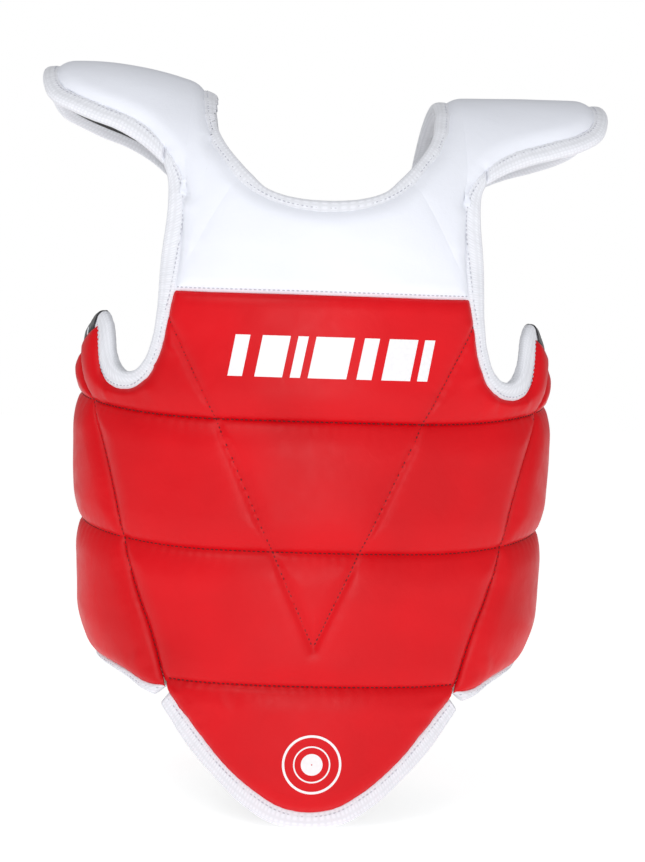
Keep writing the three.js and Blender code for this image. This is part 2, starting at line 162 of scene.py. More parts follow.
def smooth(t):
    s = np.clip(t, 0.0, 1.0)
    return s * s * (3 - 2 * s)


def over(height):
    """The same height on the back of the shoulder arch."""
    return 2 * ARCH_TOP - height


def lift(x, height):
    """How far a shoulder slopes up beyond the side of the neck."""
    tilt = np.where(x < 0, math.tan(math.radians(RIGHT_TILT)), math.tan(math.radians(LEFT_TILT)))
    beyond = np.maximum(0.0, np.abs(x) - NECK_SIDE)
    rise = beyond - beyond**2 / (2 * LEVEL_REACH)
    return tilt * rise * smooth((height - ARCH_START - 10) / 70)


def plain_body(angle, height):
    """Points of the body form without the shoulders' slope."""
    a = np.radians(angle)
    turned = np.minimum(np.abs(angle), 360 - np.abs(angle))
    bend = np.maximum(0.0, height - ARCH_START) / ARCH_RUN
    on_shoulder = smooth((height - ARCH_START + 20) / 60)
    cosine = np.cos(a)
    wide = np.sign(cosine) * np.maximum(np.abs(cosine), SHOULDER_COSINE)
    depth = HALF_DEPTH * (cosine + (wide - cosine) * on_shoulder)
    underarm = smooth((height - 10) / 80) * smooth((turned - 50) / 30)
    hem = smooth((-height - 178) / 55) * smooth((turned - 38) / 30)
    size = 1 - 0.05 * smooth(-height / 260) - 0.05 * underarm - 0.07 * hem
    climb = 24 * smooth((turned - 25) / 100) * (1 - smooth((height - 60) / 120))
    z = np.minimum(height, ARCH_START) + ARCH_RISE * np.sin(bend) + climb
    return np.stack([HALF_WIDTH * size * np.sin(a), -depth * size * np.cos(bend), z], -1)


def body(angle, height):
    """Points of the body form with the slope of both shoulders."""
    points = plain_body(angle, height)
    points[..., 2] += lift(points[..., 0], height)
    return points


def cap(across, height):
    """Points of the arch carried straight out over the arm; across is in mm."""
    bend = (height - ARCH_START) / ARCH_RUN
    y = -HALF_DEPTH * SHOULDER_COSINE * np.cos(bend)
    z = ARCH_START + ARCH_RISE * np.sin(bend) + lift(across, height)
    return np.stack([across + 0 * y, y, z], -1)


def normals(surface, across, height):
    step = 0.05
    side = surface(across + step, height) - surface(across - step, height)
    up = surface(across, height + step) - surface(across, height - step)
    out = np.cross(side, up)
    return out / np.linalg.norm(out, axis=-1, keepdims=True)


def place(surface, across, height, offset):
    offset = np.asarray(offset, float)[..., None]
    return surface(across, height) + normals(surface, across, height) * offset


# --- pattern lines ---
STRAIGHT_POINTS = 65


class Line:
    """A smooth line through points of the flat pattern, read by its share of length."""

    def __init__(self, *points):
        p = np.array(points, float)
        if len(p) == 2:
            self.flat = np.linspace(p[0], p[1], STRAIGHT_POINTS)
            self.share = np.linspace(0, 1, STRAIGHT_POINTS)
            self.knots = [0.0, 1.0]
            return
        ends = [2 * p[0] - p[1], *p, 2 * p[-1] - p[-2]]
        flat, knots = [p[0]], [0]
        for a, b, c, d in zip(ends, ends[1:], ends[2:], ends[3:]):
            flat.extend(self.span(a, b, c, d))
            knots.append(len(flat) - 1)
        self.flat = np.array(flat)
        run = np.r_[0, np.cumsum(np.linalg.norm(np.diff(self.flat, axis=0), axis=1))]
        self.share = run / run[-1]
        self.knots = [float(self.share[k]) for k in knots]

    @staticmethod
    def span(a, b, c, d):
        """A centripetal curve from b to c."""
        t1 = max(1e-4, np.linalg.norm(b - a) ** 0.5)
        t2 = t1 + max(1e-4, np.linalg.norm(c - b) ** 0.5)
        t3 = t2 + max(1e-4, np.linalg.norm(d - c) ** 0.5)
        t = np.linspace(t1, t2, 25)[1:, None]
        a1 = (t1 - t) / t1 * a + t / t1 * b
        a2 = (t2 - t) / (t2 - t1) * b + (t - t1) / (t2 - t1) * c
        a3 = (t3 - t) / (t3 - t2) * c + (t - t2) / (t3 - t2) * d
        b1 = (t2 - t) / t2 * a1 + t / t2 * a2
        b2 = (t3 - t) / (t3 - t1) * a2 + (t - t1) / (t3 - t1) * a3
        return list((t2 - t) / (t2 - t1) * b1 + (t - t1) / (t2 - t1) * b2)

    def at(self, t):
        t = np.asarray(t, float)
        return np.stack([np.interp(t, self.share, self.flat[:, k]) for k in (0, 1)], -1)


class Part:
    """A stretch of a line, perhaps changed into another pattern's coordinates."""

    def __init__(self, line, start, end, change=None):
        self.line, self.start, self.end, self.change = line, start, end, change

    def at(self, t):
        points = self.line.at(self.start + (self.end - self.start) * np.asarray(t, float))
        return self.change(points) if self.change else points


def flipped(points):
    return [(-x, y) for x, y in points]
def on_side(points, side):
    """A line as drawn for the left side, or its mirror for the right."""
    return list(points) if side == "left" else flipped(points)
def both_sides(points):
    """The +X half of a line that starts on the midline, and its mirror."""
    return flipped(points[:0:-1]) + list(points)


NECK_SEAM = [(0, 168), (6, 169.5), (12, 174), (17, 181), (21.5, 191)]
NECK_SIDE_LINE = [
    (21.5, 191), (25, 205), (29, 222), (32, 245), (33.5, 280), (34, ARCH_TOP),
    (33, over(280)), (30.5, over(210)),
]
NECK_HOLE = [
    (0, 177), (8, 179), (14, 185), (18, 196), (21.5, 208), (25, 223), (27.5, 240),
    (28.5, 258), (29.5, 282), (29.5, ARCH_TOP), (28.5, over(282)), (26, over(212)),
]
CREASE = [(21.5, 191), (28, 160), (34, 128), (38, 104)]
ARMHOLE_FRONT = [(38, 104), (36.6, 135), (36.8, 172), (39.5, 192), (44.7, 206)]
SHOULDER_OUTER = ARMHOLE_FRONT + [
    (44.7, 240), (44.7, 280), (44.7, ARCH_TOP), (44.7, over(280)), (44.7, over(206)),
]
ARMHOLE_RED = [(38, 104), (40, 78), (41.2, 59), (43, 44), (46, 29)]
ARMHOLE_REAR = [
    (46, 29), (51, 19), (56, 16.5), (61, 18.5), (65, 25), (67.5, 37), (69.5, 50), (71.5, 62),
]
HORN_TOP = [(71.5, 62), (77, 57), (83, 47), (88, 38)]
HINGE_TOP = [(71, 0), (79, 17), (88, 38)]
SLANT = [(71, 0), (62.5, -38), (58, -72), (54.5, -108)]
SLANT_LOW = [(54.5, -108), (50, -145), (44.5, -182), (39.7, -222)]
ARMHOLE_HOLE = [
    (44.7, 196), (43.2, 188), (42.6, 172), (42.8, 135), (43.2, 100), (43.8, 78), (45.2, 58),
    (48, 41), (51.5, 33), (55, 31.5), (58, 35), (60.5, 46), (62, 59), (64.5, 71), (69, 77),
    (74, 73), (80, 64), (85, 56), (88, 51),
]
WING_HEM = [(39.5, -227), (46, -227), (58, -220), (75, -219), (110, -219), (140, -219), (147, -214)]
WING_DROP = [(88, 38), (94, 23), (101, 8)]
WING_TOP = WING_DROP + [(110, -6), (124, -12), (140, -12), (147, -17)]
WING_MIDDLE_TOP = [(71, 0), (101, 0), (106, 0), (112, -8), (124, -12), (140, -12), (147, -17)]
WING_REAR_MIDDLE = [(150, -108), (150, -27), (147, -17)]
WING_REAR_LOW = [(147, -214), (150, -204), (150, -108)]
WING_OUTER = [
    (88, 51), (97, 34), (104, 18), (112, 7), (124, 1), (142, 1), (152, -8), (156, -24),
    (156, -100), (156, -209), (152, -225), (142, -230), (110, -228), (75, -225.5), (58, -226.5),
    (48, -233.5), (43.5, -236),
]
WING_EDGE = WING_TOP + [(150, -27), (150, -100), (150, -204)] + WING_HEM[::-1]
FLAP_HEM = [(14, -308), (6, -322), (0, -325)]
FLAP_SIDE = [(14, -308), (23, -284), (31, -256), (37, -236), (39, -221)]
FLAP_OUTER = [
    (0, -338), (8, -335.5), (16, -322), (25, -297), (32.5, -274), (38.5, -252), (41, -242),
]
FLAP_INNER = [(0, -325), (6, -322), (14, -308), (23, -284), (31, -256), (37, -236), (38.4, -232)]
CHEVRON = [(39.6, 84), (25.5, 0.5), (10.5, -108), (0.05, -186)]
CHEST_END = 46.0
NECK_LINE = NECK_SEAM + NECK_SIDE_LINE[1:]
ARMHOLE = ARMHOLE_FRONT[::-1] + ARMHOLE_RED[1:] + ARMHOLE_REAR[1:] + HORN_TOP[1:]
SLANT_SEAM = HINGE_TOP[::-1] + SLANT[1:] + SLANT_LOW[1:]
SHOULDER_END = [(30.5, over(210)), (44.7, over(206))]
def cap_lines(reach):
    """Seam and outer edge of a cap that reaches so far, as [distance from midline, height]."""
    tip = CAP_START + reach
    front = [
        (CAP_START, 206), (CAP_START + 14, 218), (CAP_START + 36, 228), (CAP_START + 55, 235),
        (tip - 21, 243), (tip - 7, 254),
    ]
    side = [(tip - 7, 254), (tip - 1, 270), (tip, ARCH_TOP)]
    outer = [
        (CAP_START, 196), (CAP_START + 15, 205), (CAP_START + 38, 215), (CAP_START + 60, 222),
        (tip - 15, 231), (tip + 3, 245), (tip + 11, 268), (tip + 13, ARCH_TOP),
    ]
    back = [(x, over(y)) for x, y in front]
    side = side + [(x, over(y)) for x, y in side[-2::-1]]
    outer = outer + [(x, over(y)) for x, y in outer[-2::-1]]
    return front, side, back, outer


CAP_REACH = {"left": 97.0, "right": 92.0}
SIDES = {"left": 1, "right": -1}
ROWS = ("upper", "middle", "lower")
# --- seams that pull the covers in ---
def distance_to(points, line):
    """How far each point is from a chain of points, and how far along the chain."""
    best = np.full(len(points), 1e9)
    along = np.zeros(len(points))
    run = 0.0
    for a, b in zip(line[:-1], line[1:]):
        ab = b - a
        size = float(ab @ ab)
        t = np.clip((points - a) @ ab / size, 0, 1)
        d = np.linalg.norm(points - (a + t[:, None] * ab), axis=1)
        near = d < best
        best[near] = d[near]
        along[near] = run + t[near] * math.sqrt(size)
        run += math.sqrt(size)
    return best, along, run


def on_cover(surface, line, count):
    spots = line.at(np.linspace(0, 1, count))
    return place(surface, spots[:, 0], spots[:, 1], PAD)
SEAMS = []
CREASE_DEPTH = 1.5
CREASE_WIDTH = 4.5


def add_seam(kind, surface, points, count=50, pucker=0.0):
    """Keeps a seam as a chain of points on the cover, with how it pulls the cover in."""
    depth, width, power = kind
    SEAMS.append((on_cover(surface, Line(*points), count), depth, width, power, pucker))


def draw_seams():
    """Every sewn line and folded edge. A kind is its depth and width in mm, and its steepness."""
    s = sizes()
    level = (s.seam_depth / MM - 1.2, 30.0, 2.3)
    chevron = (s.chevron_depth / MM - 0.8, 14.0, 2.0)
    slant = (s.slant_depth / MM, 21.0, 2.2)
    taped = (s.edge_depth / MM, 15.0, 2.3)
    flap_fold = (4.6, 22.0, 2.2)
    yoke = (3.4, 13.0, 2.0)
    crease = (0.7, 9.0, 1.6)
    ended = (12.5, 15.0, 3.0)
    SEAMS.clear()
    for kind, end, height, count, pucker in (
        (level, 104, 0, 100, 0.35), (level, 150, -108, 120, 0.35),
        (flap_fold, 39.7, -220, 50, 0.3), (yoke, 38, 104, 50, 0.15),
    ):
        add_seam(kind, body, [(-end, height), (0, height), (end, height)], count, pucker)
    add_seam(taped, body, both_sides(NECK_LINE), 150)
    add_seam(taped, body, both_sides(FLAP_INNER), 90, 0.25)
    for side, reach in CAP_REACH.items():
        for kind, points, count, pucker in (
            (chevron, CHEVRON, 60, 0.2), (slant, SLANT_SEAM, 70, 0.3), (crease, CREASE, 20, 0.0),
            (taped, ARMHOLE, 110, 0.2), (taped, WING_EDGE, 150, 0.2),
        ):
            add_seam(kind, body, on_side(points, side), count, pucker)
        front, tip, back, _ = cap_lines(reach)
        add_seam(taped, cap, on_side(front + tip[1:-1] + back[::-1], side), 90)
        add_seam(ended, body, on_side(SHOULDER_END, side), 12)


def dips(points):
    """How far the seams pull in each point of the cover, and how far it gathers, in mm."""
    total, gathers, sharp = (np.zeros(len(points)) for _ in range(3))
    for chain, depth, width, power, pucker in SEAMS:
        low, high = chain.min(0) - width, chain.max(0) + width
        near = np.all((points >= low) & (points <= high), axis=1)
        if not near.any():
            continue
        d, along, _ = distance_to(points[near], chain)
        t = np.clip(d / width, 0, 1)
        total[near] += (depth * (1 - t) ** power) ** 3
        if pucker:
            crease = CREASE_DEPTH * np.clip(1 - d / CREASE_WIDTH, 0, 1) ** 1.3
            sharp[near] = np.maximum(sharp[near], crease)
        wave = np.sin(along / 1.45 + 2.1 * np.sin(along / 17)) * np.exp(-d / 5.5)
        gathers[near] += pucker * wave * np.clip(d / 1.5, 0, 1)
    return np.cbrt(total) + sharp, gathers
def swell(points):
    """Slow unevenness of hand-cut foam, in mm."""
    x, y, z = points.T
    wide = np.sin(x / 31 + 1.7 * np.sin(z / 57)) * np.sin(z / 26 + 0.6 * np.sin(x / 41))
    fine = np.sin(x / 11 + z / 17 + 2 * np.sin(z / 23)) * np.sin(z / 9 - x / 29 + y / 20)
    return 0.42 * wide + 0.13 * fine


# Soft folds in the cover: [from, to], height in mm, width in mm.
FOLDS = [
    ([(-37.5, -238), (-30, -243)], 1.1, 5.0), ([(-36, -246), (-28, -249)], 0.9, 4.5),
    ([(-33.5, -252), (-27, -262)], 1.0, 5.0), ([(-38, -232), (-33, -230)], 0.8, 4.5),
    ([(-24, -230), (-20, -246)], 0.7, 6.0), ([(36, -233), (30, -240)], 0.8, 5.0),
    ([(32, -252), (26, -255)], 0.7, 5.0), ([(-41, 60), (-34, 50)], 0.7, 6.0),
    ([(43, 44), (35, 34)], 0.7, 6.0), ([(-47, 26), (-42, 12)], 0.7, 6.0),
    ([(48, 22), (44, 8)], 0.8, 6.0), ([(-62, 14), (-60, 2)], 0.8, 5.0),
    ([(62, 16), (60, 3)], 0.8, 5.0), ([(-56, -122), (-48, -130)], 0.6, 7.0),
    ([(55, -126), (47, -134)], 0.6, 7.0), ([(-37, 150), (-30, 140)], 0.8, 6.0),
    ([(-37.5, 172), (-31, 166)], 0.7, 6.0), ([(37, 150), (31, 143)], 0.6, 6.0),
    ([(38, 182), (33, 176)], 0.7, 5.0), ([(-50, -212), (-46, -200)], 0.9, 6.0),
    ([(52, -210), (48, -198)], 0.9, 6.0),
]


def folds(points):
    total = np.zeros(len(points))
    for (start, end), height, width in FOLDS:
        chain = on_cover(body, Line(start, end), 8)
        near = np.linalg.norm(points - chain.mean(0), axis=1) < 60
        if near.any():
            d, along, run = distance_to(points[near], chain)
            bump = np.exp(-((d / width) ** 2)) - 0.6 * np.exp(-(((d - 1.5 * width) / width) ** 2))
            total[near] += height * bump * np.sin(np.pi * np.clip(along / run, 0, 1)) ** 0.7
    return total


def cover_top(points):
    """Offset of the cover's outside over the lining's inside, in mm, and how deep it dips."""
    dip, pucker = dips(points)
    shape = PAD + 0.5 + swell(points) + folds(points) - dip - pucker
    return np.maximum(shape, 3.6), dip
# --- meshes ---
JOIN_GAP = 0.25
SHARP_ANGLE = math.radians(50)


def coons(bottom, top, left, right, us, vs):
    """A grid of pattern points between four edges: one row for each of vs."""
    u, v = np.asarray(us)[None, :, None], np.asarray(vs)[:, None, None]
    b, t = bottom.at(us)[None], top.at(us)[None]
    lft, rgt = left.at(vs)[:, None], right.at(vs)[:, None]
    corners = (
        (1 - u) * (1 - v) * b[:, :1] + u * (1 - v) * b[:, -1:]
        + (1 - u) * v * t[:, :1] + u * v * t[:, -1:]
    )
    return (1 - v) * b + v * t + (1 - u) * lft + u * rgt - corners


def spaced(surface, line, step):
    """Even shares along a line for steps of about so many mm."""
    spots = line.at(np.linspace(0, 1, 40))
    run = np.linalg.norm(np.diff(surface(spots[:, 0], spots[:, 1]), axis=0), axis=1).sum()
    return np.linspace(0, 1, max(3, int(round(run / step)) + 1))


def mirrored_grid(grid):
    surface, spots = grid
    return surface, spots[:, ::-1] * np.array([-1.0, 1.0])


class Sheet:
    """Grids of pattern points joined along the edges that they share."""

    def __init__(self, grids):
        self.points, self.normal, self.uv, self.faces = [], [], [], []
        known = {}
        for surface, spots in grids:
            a, h = spots[..., 0], spots[..., 1]
            outer = place(surface, a, h, PAD)
            out = normals(surface, a, h)
            rows, columns = a.shape
            scale = 1.0 if surface is cap else 2.9
            ids = np.zeros((rows, columns), int)
            for i in range(rows):
                for j in range(columns):
                    edge = i in (0, rows - 1) or j in (0, columns - 1)
                    found = self.seen(known, outer[i, j]) if edge else None
                    if found is None:
                        found = len(self.points)
                        self.points.append(outer[i, j])
                        self.normal.append(out[i, j])
                        self.uv.append((a[i, j] * scale * MM, h[i, j] * MM))
                        if edge:
                            known.setdefault(self.cell(outer[i, j]), []).append(found)
                    ids[i, j] = found
            quads = np.stack([ids[:-1, :-1], ids[:-1, 1:], ids[1:, 1:], ids[1:, :-1]], -1)
            self.faces.extend(tuple(q) for q in quads.reshape(-1, 4).tolist())
        self.points = np.array(self.points)
        self.normal = np.array(self.normal)
        self.uv = np.array(self.uv)

    @staticmethod
    def cell(p):
        return tuple(int(c) for c in np.floor(p / 2))

    def seen(self, known, p):
        x, y, z = self.cell(p)
        for i, j, k in np.ndindex(3, 3, 3):
            for index in known.get((x + i - 1, y + j - 1, z + k - 1), ()):
                if np.abs(self.points[index] - p).max() < JOIN_GAP:
                    return index
        return None

    def solid(self, name, low, high):
        """A closed mesh between two offsets, given in mm at each point."""
        base = self.points - self.normal * PAD
        count = len(base)
        points = np.r_[base + self.normal * high[:, None], base + self.normal * low[:, None]]
        faces = [f for f in self.faces if len(set(f)) == 4]
        faces += [tuple(dict.fromkeys(f)) for f in self.faces if len(set(f)) == 3]
        sides = dict.fromkeys((a, b) for f in faces for a, b in zip(f, f[1:] + f[:1]))
        rim = [(a, b) for a, b in sides if (b, a) not in sides]
        solid = list(faces) + [tuple(i + count for i in f[::-1]) for f in faces]
        solid += [(b, a, a + count, b + count) for a, b in rim]
        return mesh_object(name, points, solid, np.r_[self.uv, self.uv])

    def area(self):
        """Flat area in square metres."""
        p = self.points * MM
        f = np.array(self.faces)
        crossed = np.cross(p[f[:, 2]] - p[f[:, 0]], p[f[:, 3]] - p[f[:, 1]])
        return float(0.5 * np.linalg.norm(crossed, axis=1).sum())

    def cut(self):
        """Width and length of the flat cut in metres, and its area."""
        wide, long = np.ptp(self.uv, axis=0)
        area = self.area()
        if area > wide * long:
            grow = math.sqrt(area * 1.02 / (wide * long))
            wide, long = wide * grow, long * grow
        return (float(wide), float(long)), max(area, 0.31 * float(wide * long))


def mesh_object(name, points_mm, faces, uv=None):
    mesh = bpy.data.meshes.new(name)
    mesh.from_pydata((np.asarray(points_mm) * MM).tolist(), [], faces)
    mesh.validate()
    if uv is not None:
        layer = mesh.uv_layers.new(name="UVMap")
        index = np.zeros(len(mesh.loops), int)
        mesh.loops.foreach_get("vertex_index", index)
        layer.data.foreach_set("uv", np.asarray(uv)[index].astype(np.float32).ravel())
    mesh.polygons.foreach_set("use_smooth", [True] * len(mesh.polygons))
    mesh.set_sharp_from_angle(angle=SHARP_ANGLE)
    mesh.update()
    made = bpy.data.objects.new(name, mesh)
    bpy.context.scene.collection.objects.link(made)
    return made


def finish_piece(made, look, motion, nodes=()):
    """Material, the body that a piece is attached to if it follows one, or else its place baked in,
    and the CAD nodes that it stands for.
    """
    made.data.materials.append(MATERIALS[look])
    if len(motion) == 1:
        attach(made, motion[0])
    else:
        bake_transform(made)
    if nodes:
        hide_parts(*nodes)
    return made


def declare_sheet(sheet):
    """Works out the flat size and area of a sheet, and does nothing more with them."""
    flat, area = sheet.cut()


def hinge(name):
    joint = [j for j in frame["joints"] if j["name"] == name][0]
    return Vector(joint["pos_m"]), Vector(joint["axis"])


def motion_of(part, side="left"):
    """The body that a part follows, or the two bodies that it bends between."""
    if part == "wing":
        pivot, axis = hinge(f"{side}_wing_open")
        out = Vector((SIDES[side] * 0.6, 0.8, 0.0))
        out = (out - axis * out.dot(axis)).normalized()
        return ("chest", f"{side}_wing", pivot + out * 0.012, pivot + out * 0.05)
    if part == "flap":
        pivot, _ = hinge("flap_fold")
        return ("chest", "flap", pivot, pivot - Vector((0, 0, 0.026)))
    if part == "cap":
        # Aslant, so that the front of the armhole below the cap stays with the chest.
        x = SIDES[side]
        start = Vector((x * 0.110, 0, 0.28))
        return ("chest", f"{side}_cap", start, start + Vector((x * 0.0422, 0, 0.0127)))
    return (part,)


# --- materials ---
def add_node(tree, kind, values=None, links=None, **settings):
    """Adds a shader node with its settings, socket values and incoming links."""
    made = tree.nodes.new(kind)
    for key, value in settings.items():
        setattr(made, key, value)
    for key, value in (values or {}).items():
        made.inputs[key].default_value = value
    for key, source in (links or {}).items():
        tree.links.new(source, made.inputs[key])
    return made


def rgba(colour):
    return (*colour, 1.0)


def new_material(name, values):
    """A material with a surface shader whose constant values are on its own sockets."""
    made = bpy.data.materials.new(name)
    made.use_nodes = True
    tree = made.node_tree
    tree.nodes.clear()
    shader = add_node(tree, "ShaderNodeBsdfPrincipled", values)
    add_node(tree, "ShaderNodeOutputMaterial", links={"Surface": shader.outputs[0]})
    return made, tree, shader


def two_tone(tree, shader, coordinate, first, second, scale):
    """Slow cloudy change between two colours."""
    noise = add_node(
        tree, "ShaderNodeTexNoise", {"Scale": scale, "Detail": 3.0}, {"Vector": coordinate}
    )
    ramp = add_node(tree, "ShaderNodeValToRGB", links={"Fac": noise.outputs[0]})
    for element, position, colour in zip(ramp.color_ramp.elements, (0.35, 0.65), (first, second)):
        element.position, element.color = position, rgba(colour)
    tree.links.new(ramp.outputs[0], shader.inputs["Base Color"])


def raised_pattern(tree, shader, pattern, hollow, top, strength, depth_mm, full=1.0):
    """Colours and raises a surface by one pattern, from its hollows to its tops; a darker hollow
    colour is painted shade, and a lighter top colour a painted highlight.
    """
    ramp = add_node(tree, "ShaderNodeValToRGB", links={"Fac": pattern})
    ramp.color_ramp.elements[0].color = rgba(hollow)
    ramp.color_ramp.elements[1].color = rgba(top)
    ramp.color_ramp.elements[1].position = full
    tree.links.new(ramp.outputs[0], shader.inputs["Base Color"])
    relief = add_node(
        tree, "ShaderNodeBump", {"Strength": strength, "Distance": depth_mm * MM},
        {"Height": pattern},
    )
    tree.links.new(relief.outputs[0], shader.inputs["Normal"])


def wave_scale(spacing_mm):
    """The scale at which a wave texture repeats at this spacing."""
    return 0.314 / (spacing_mm * MM) / 2

def shade(colour, factor):
    return tuple(min(1.0, c * factor) for c in colour)
def coated_vinyl(name, first, second, roughness):
    """Calendered PU-coated vinyl: a soft broad shine that its pressed grain breaks up."""
    made, tree, shader = new_material(
        name, {"IOR": 1.5, "Specular IOR Level": 0.2, "Coat Weight": 0.03, "Coat Roughness": 0.3}
    )
    place_node = add_node(tree, "ShaderNodeTexCoord").outputs["Object"]
    two_tone(tree, shader, place_node, first, second, 9.0)
    # Pressed grain is about 0.7 mm; it is drawn at 1.8 mm, the finest that shows.
    grain = add_node(
        tree, "ShaderNodeTexVoronoi", {"Scale": 1 / (1.8 * MM), "Randomness": 0.9},
        {"Vector": place_node}, feature="SMOOTH_F1",
    )
    # Handling creases about 14 mm apart.
    creases = add_node(
        tree, "ShaderNodeTexNoise", {"Scale": 1 / (14 * MM), "Detail": 4.0, "Distortion": 0.6},
        {"Vector": place_node},
    )
    fine = add_node(
        tree, "ShaderNodeBump", {"Strength": 0.16, "Distance": 0.25 * MM},
        {"Height": grain.outputs[0]},
    )
    soft = add_node(
        tree, "ShaderNodeBump", {"Strength": 0.35, "Distance": 0.9 * MM},
        {"Height": creases.outputs[0], "Normal": fine.outputs[0]},
    )
    tree.links.new(soft.outputs[0], shader.inputs["Normal"])
    gloss = add_node(
        tree, "ShaderNodeMapRange",
        {"From Min": 0.3, "From Max": 0.7, "To Min": roughness - 0.05, "To Max": roughness + 0.07},
        {"Value": creases.outputs[0]},
    )
    tree.links.new(gloss.outputs[0], shader.inputs["Roughness"])
    return made


def woven(name, colour, thread_mm, roughness, gap_shade, depth_mm, sheen=0.0):
    """Plain-woven yarn: crossing ridges with a darker gap between them, which is painted shade, and
    a dull sheen.
    """
    made, tree, shader = new_material(
        name, {"Roughness": roughness, "Sheen Weight": sheen, "Sheen Roughness": 0.5}
    )
    flat = add_node(tree, "ShaderNodeTexCoord").outputs["UV"]
    ridges = [
        add_node(
            tree, "ShaderNodeTexWave",
            {"Scale": wave_scale(thread_mm), "Distortion": 0.4, "Detail": 1.0},
            {"Vector": flat}, bands_direction=direction,
        ).outputs["Fac"]
        for direction in ("X", "Y")
    ]
    mixed = add_node(
        tree, "ShaderNodeMath", links={0: ridges[0], 1: ridges[1]}, operation="MULTIPLY"
    ).outputs[0]
    # The gaps between the crossing ridges are painted darker: painted shade between the yarns.
    raised_pattern(tree, shader, mixed, shade(colour, 1 - gap_shade), colour, 0.5, depth_mm, 0.6)
    return made

def ribbed_elastic(name, colour):
    """Knitted elastic: raised ribs along its length, dull, with painted shade in the hollows and a
    painted highlight on the rib tops.
    """
    made, tree, shader = new_material(name, {"Roughness": 0.85, "Sheen Weight": 0.3})
    flat = add_node(tree, "ShaderNodeTexCoord").outputs["UV"]
    # Ribs are 2.2 mm apart, with a 1.5 mm knit across them.
    ribs = add_node(
        tree, "ShaderNodeTexWave", {"Scale": wave_scale(2.2), "Distortion": 0.3},
        {"Vector": flat}, bands_direction="Y",
    )
    knit = add_node(
        tree, "ShaderNodeTexWave", {"Scale": wave_scale(1.5), "Distortion": 1.0},
        {"Vector": flat}, bands_direction="X",
    )
    mixed = add_node(
        tree, "ShaderNodeMath", {1: 0.35}, {0: knit.outputs["Fac"], 2: ribs.outputs["Fac"]},
        operation="MULTIPLY_ADD",
    ).outputs[0]
    # Painted shade in the hollows between the ribs, at half the colour, and a painted highlight on
    # the rib tops, at 1.9 times the colour.
    raised_pattern(tree, shader, mixed, shade(colour, 0.5), shade(colour, 1.9), 0.7, 0.5)
    return made

def speckled(name, colour, scale_mm, roughness, depth_mm, sheen=0.0, spread=0.75):
    """Cut foam or pile: small cells or loops, matt, a little uneven in tone; where spread is above
    1 the raised tops are lighter, a painted highlight.
    """
    made, tree, shader = new_material(
        name, {"Roughness": roughness, "Sheen Weight": sheen, "Sheen Roughness": 0.4}
    )
    spot = add_node(tree, "ShaderNodeTexCoord").outputs["Object"]
    cells = add_node(
        tree, "ShaderNodeTexVoronoi", {"Scale": 1 / (scale_mm * MM)}, {"Vector": spot}
    ).outputs["Distance"]
    # Towards the raised cell edges the colour goes to the colour times spread; above 1 this is a
    # painted highlight on the tops.
    raised_pattern(tree, shader, cells, colour, shade(colour, spread), 0.5, depth_mm)
    return made

MATERIALS = {}


def make_materials():
    c = colours()
    MATERIALS.clear()
    MATERIALS.update(
        red=coated_vinyl("Red PU vinyl, calendered and embossed", c.red_deep, c.red, 0.40),
        white=coated_vinyl(
            "White PU vinyl, calendered and embossed", shade(c.white, 0.96), c.white, 0.42
        ),
        # Tape yarns are 0.4 mm; they are drawn at 1.3 mm so that the weave shows.
        tape=woven("Polyester binding tape, woven", c.tape, 1.3, 0.8, 0.10, 0.22, 0.2),
        # Nylon yarns are 0.3 mm, drawn at 1.4 mm.
        lining=woven("Nylon lining, plain woven", c.lining, 1.4, 0.55, 0.45, 0.2, 0.25),
        elastic=ribbed_elastic("Polyester elastic, knitted", c.elastic),
        # The loop tops are painted up to 1.9 times lighter: a painted highlight on the pile.
        pile=speckled("Nylon loop pile, napped", c.pile, 1.6, 0.95, 0.8, 0.6, 1.9),
        # Cells are 0.3 mm, drawn at 1.5 mm.
        foam=speckled("EVA foam, closed cell, cut", c.foam, 1.5, 0.9, 0.2),
        red_thread=speckled("Red polyester thread, twisted", c.red_thread, 0.9, 0.6, 0.1),
        white_thread=speckled("White polyester thread, twisted", c.white_thread, 0.9, 0.6, 0.1),
        ink=speckled("White plastisol ink, screen printed", c.ink, 3.0, 0.5, 0.05, 0.0, 0.93),
    )


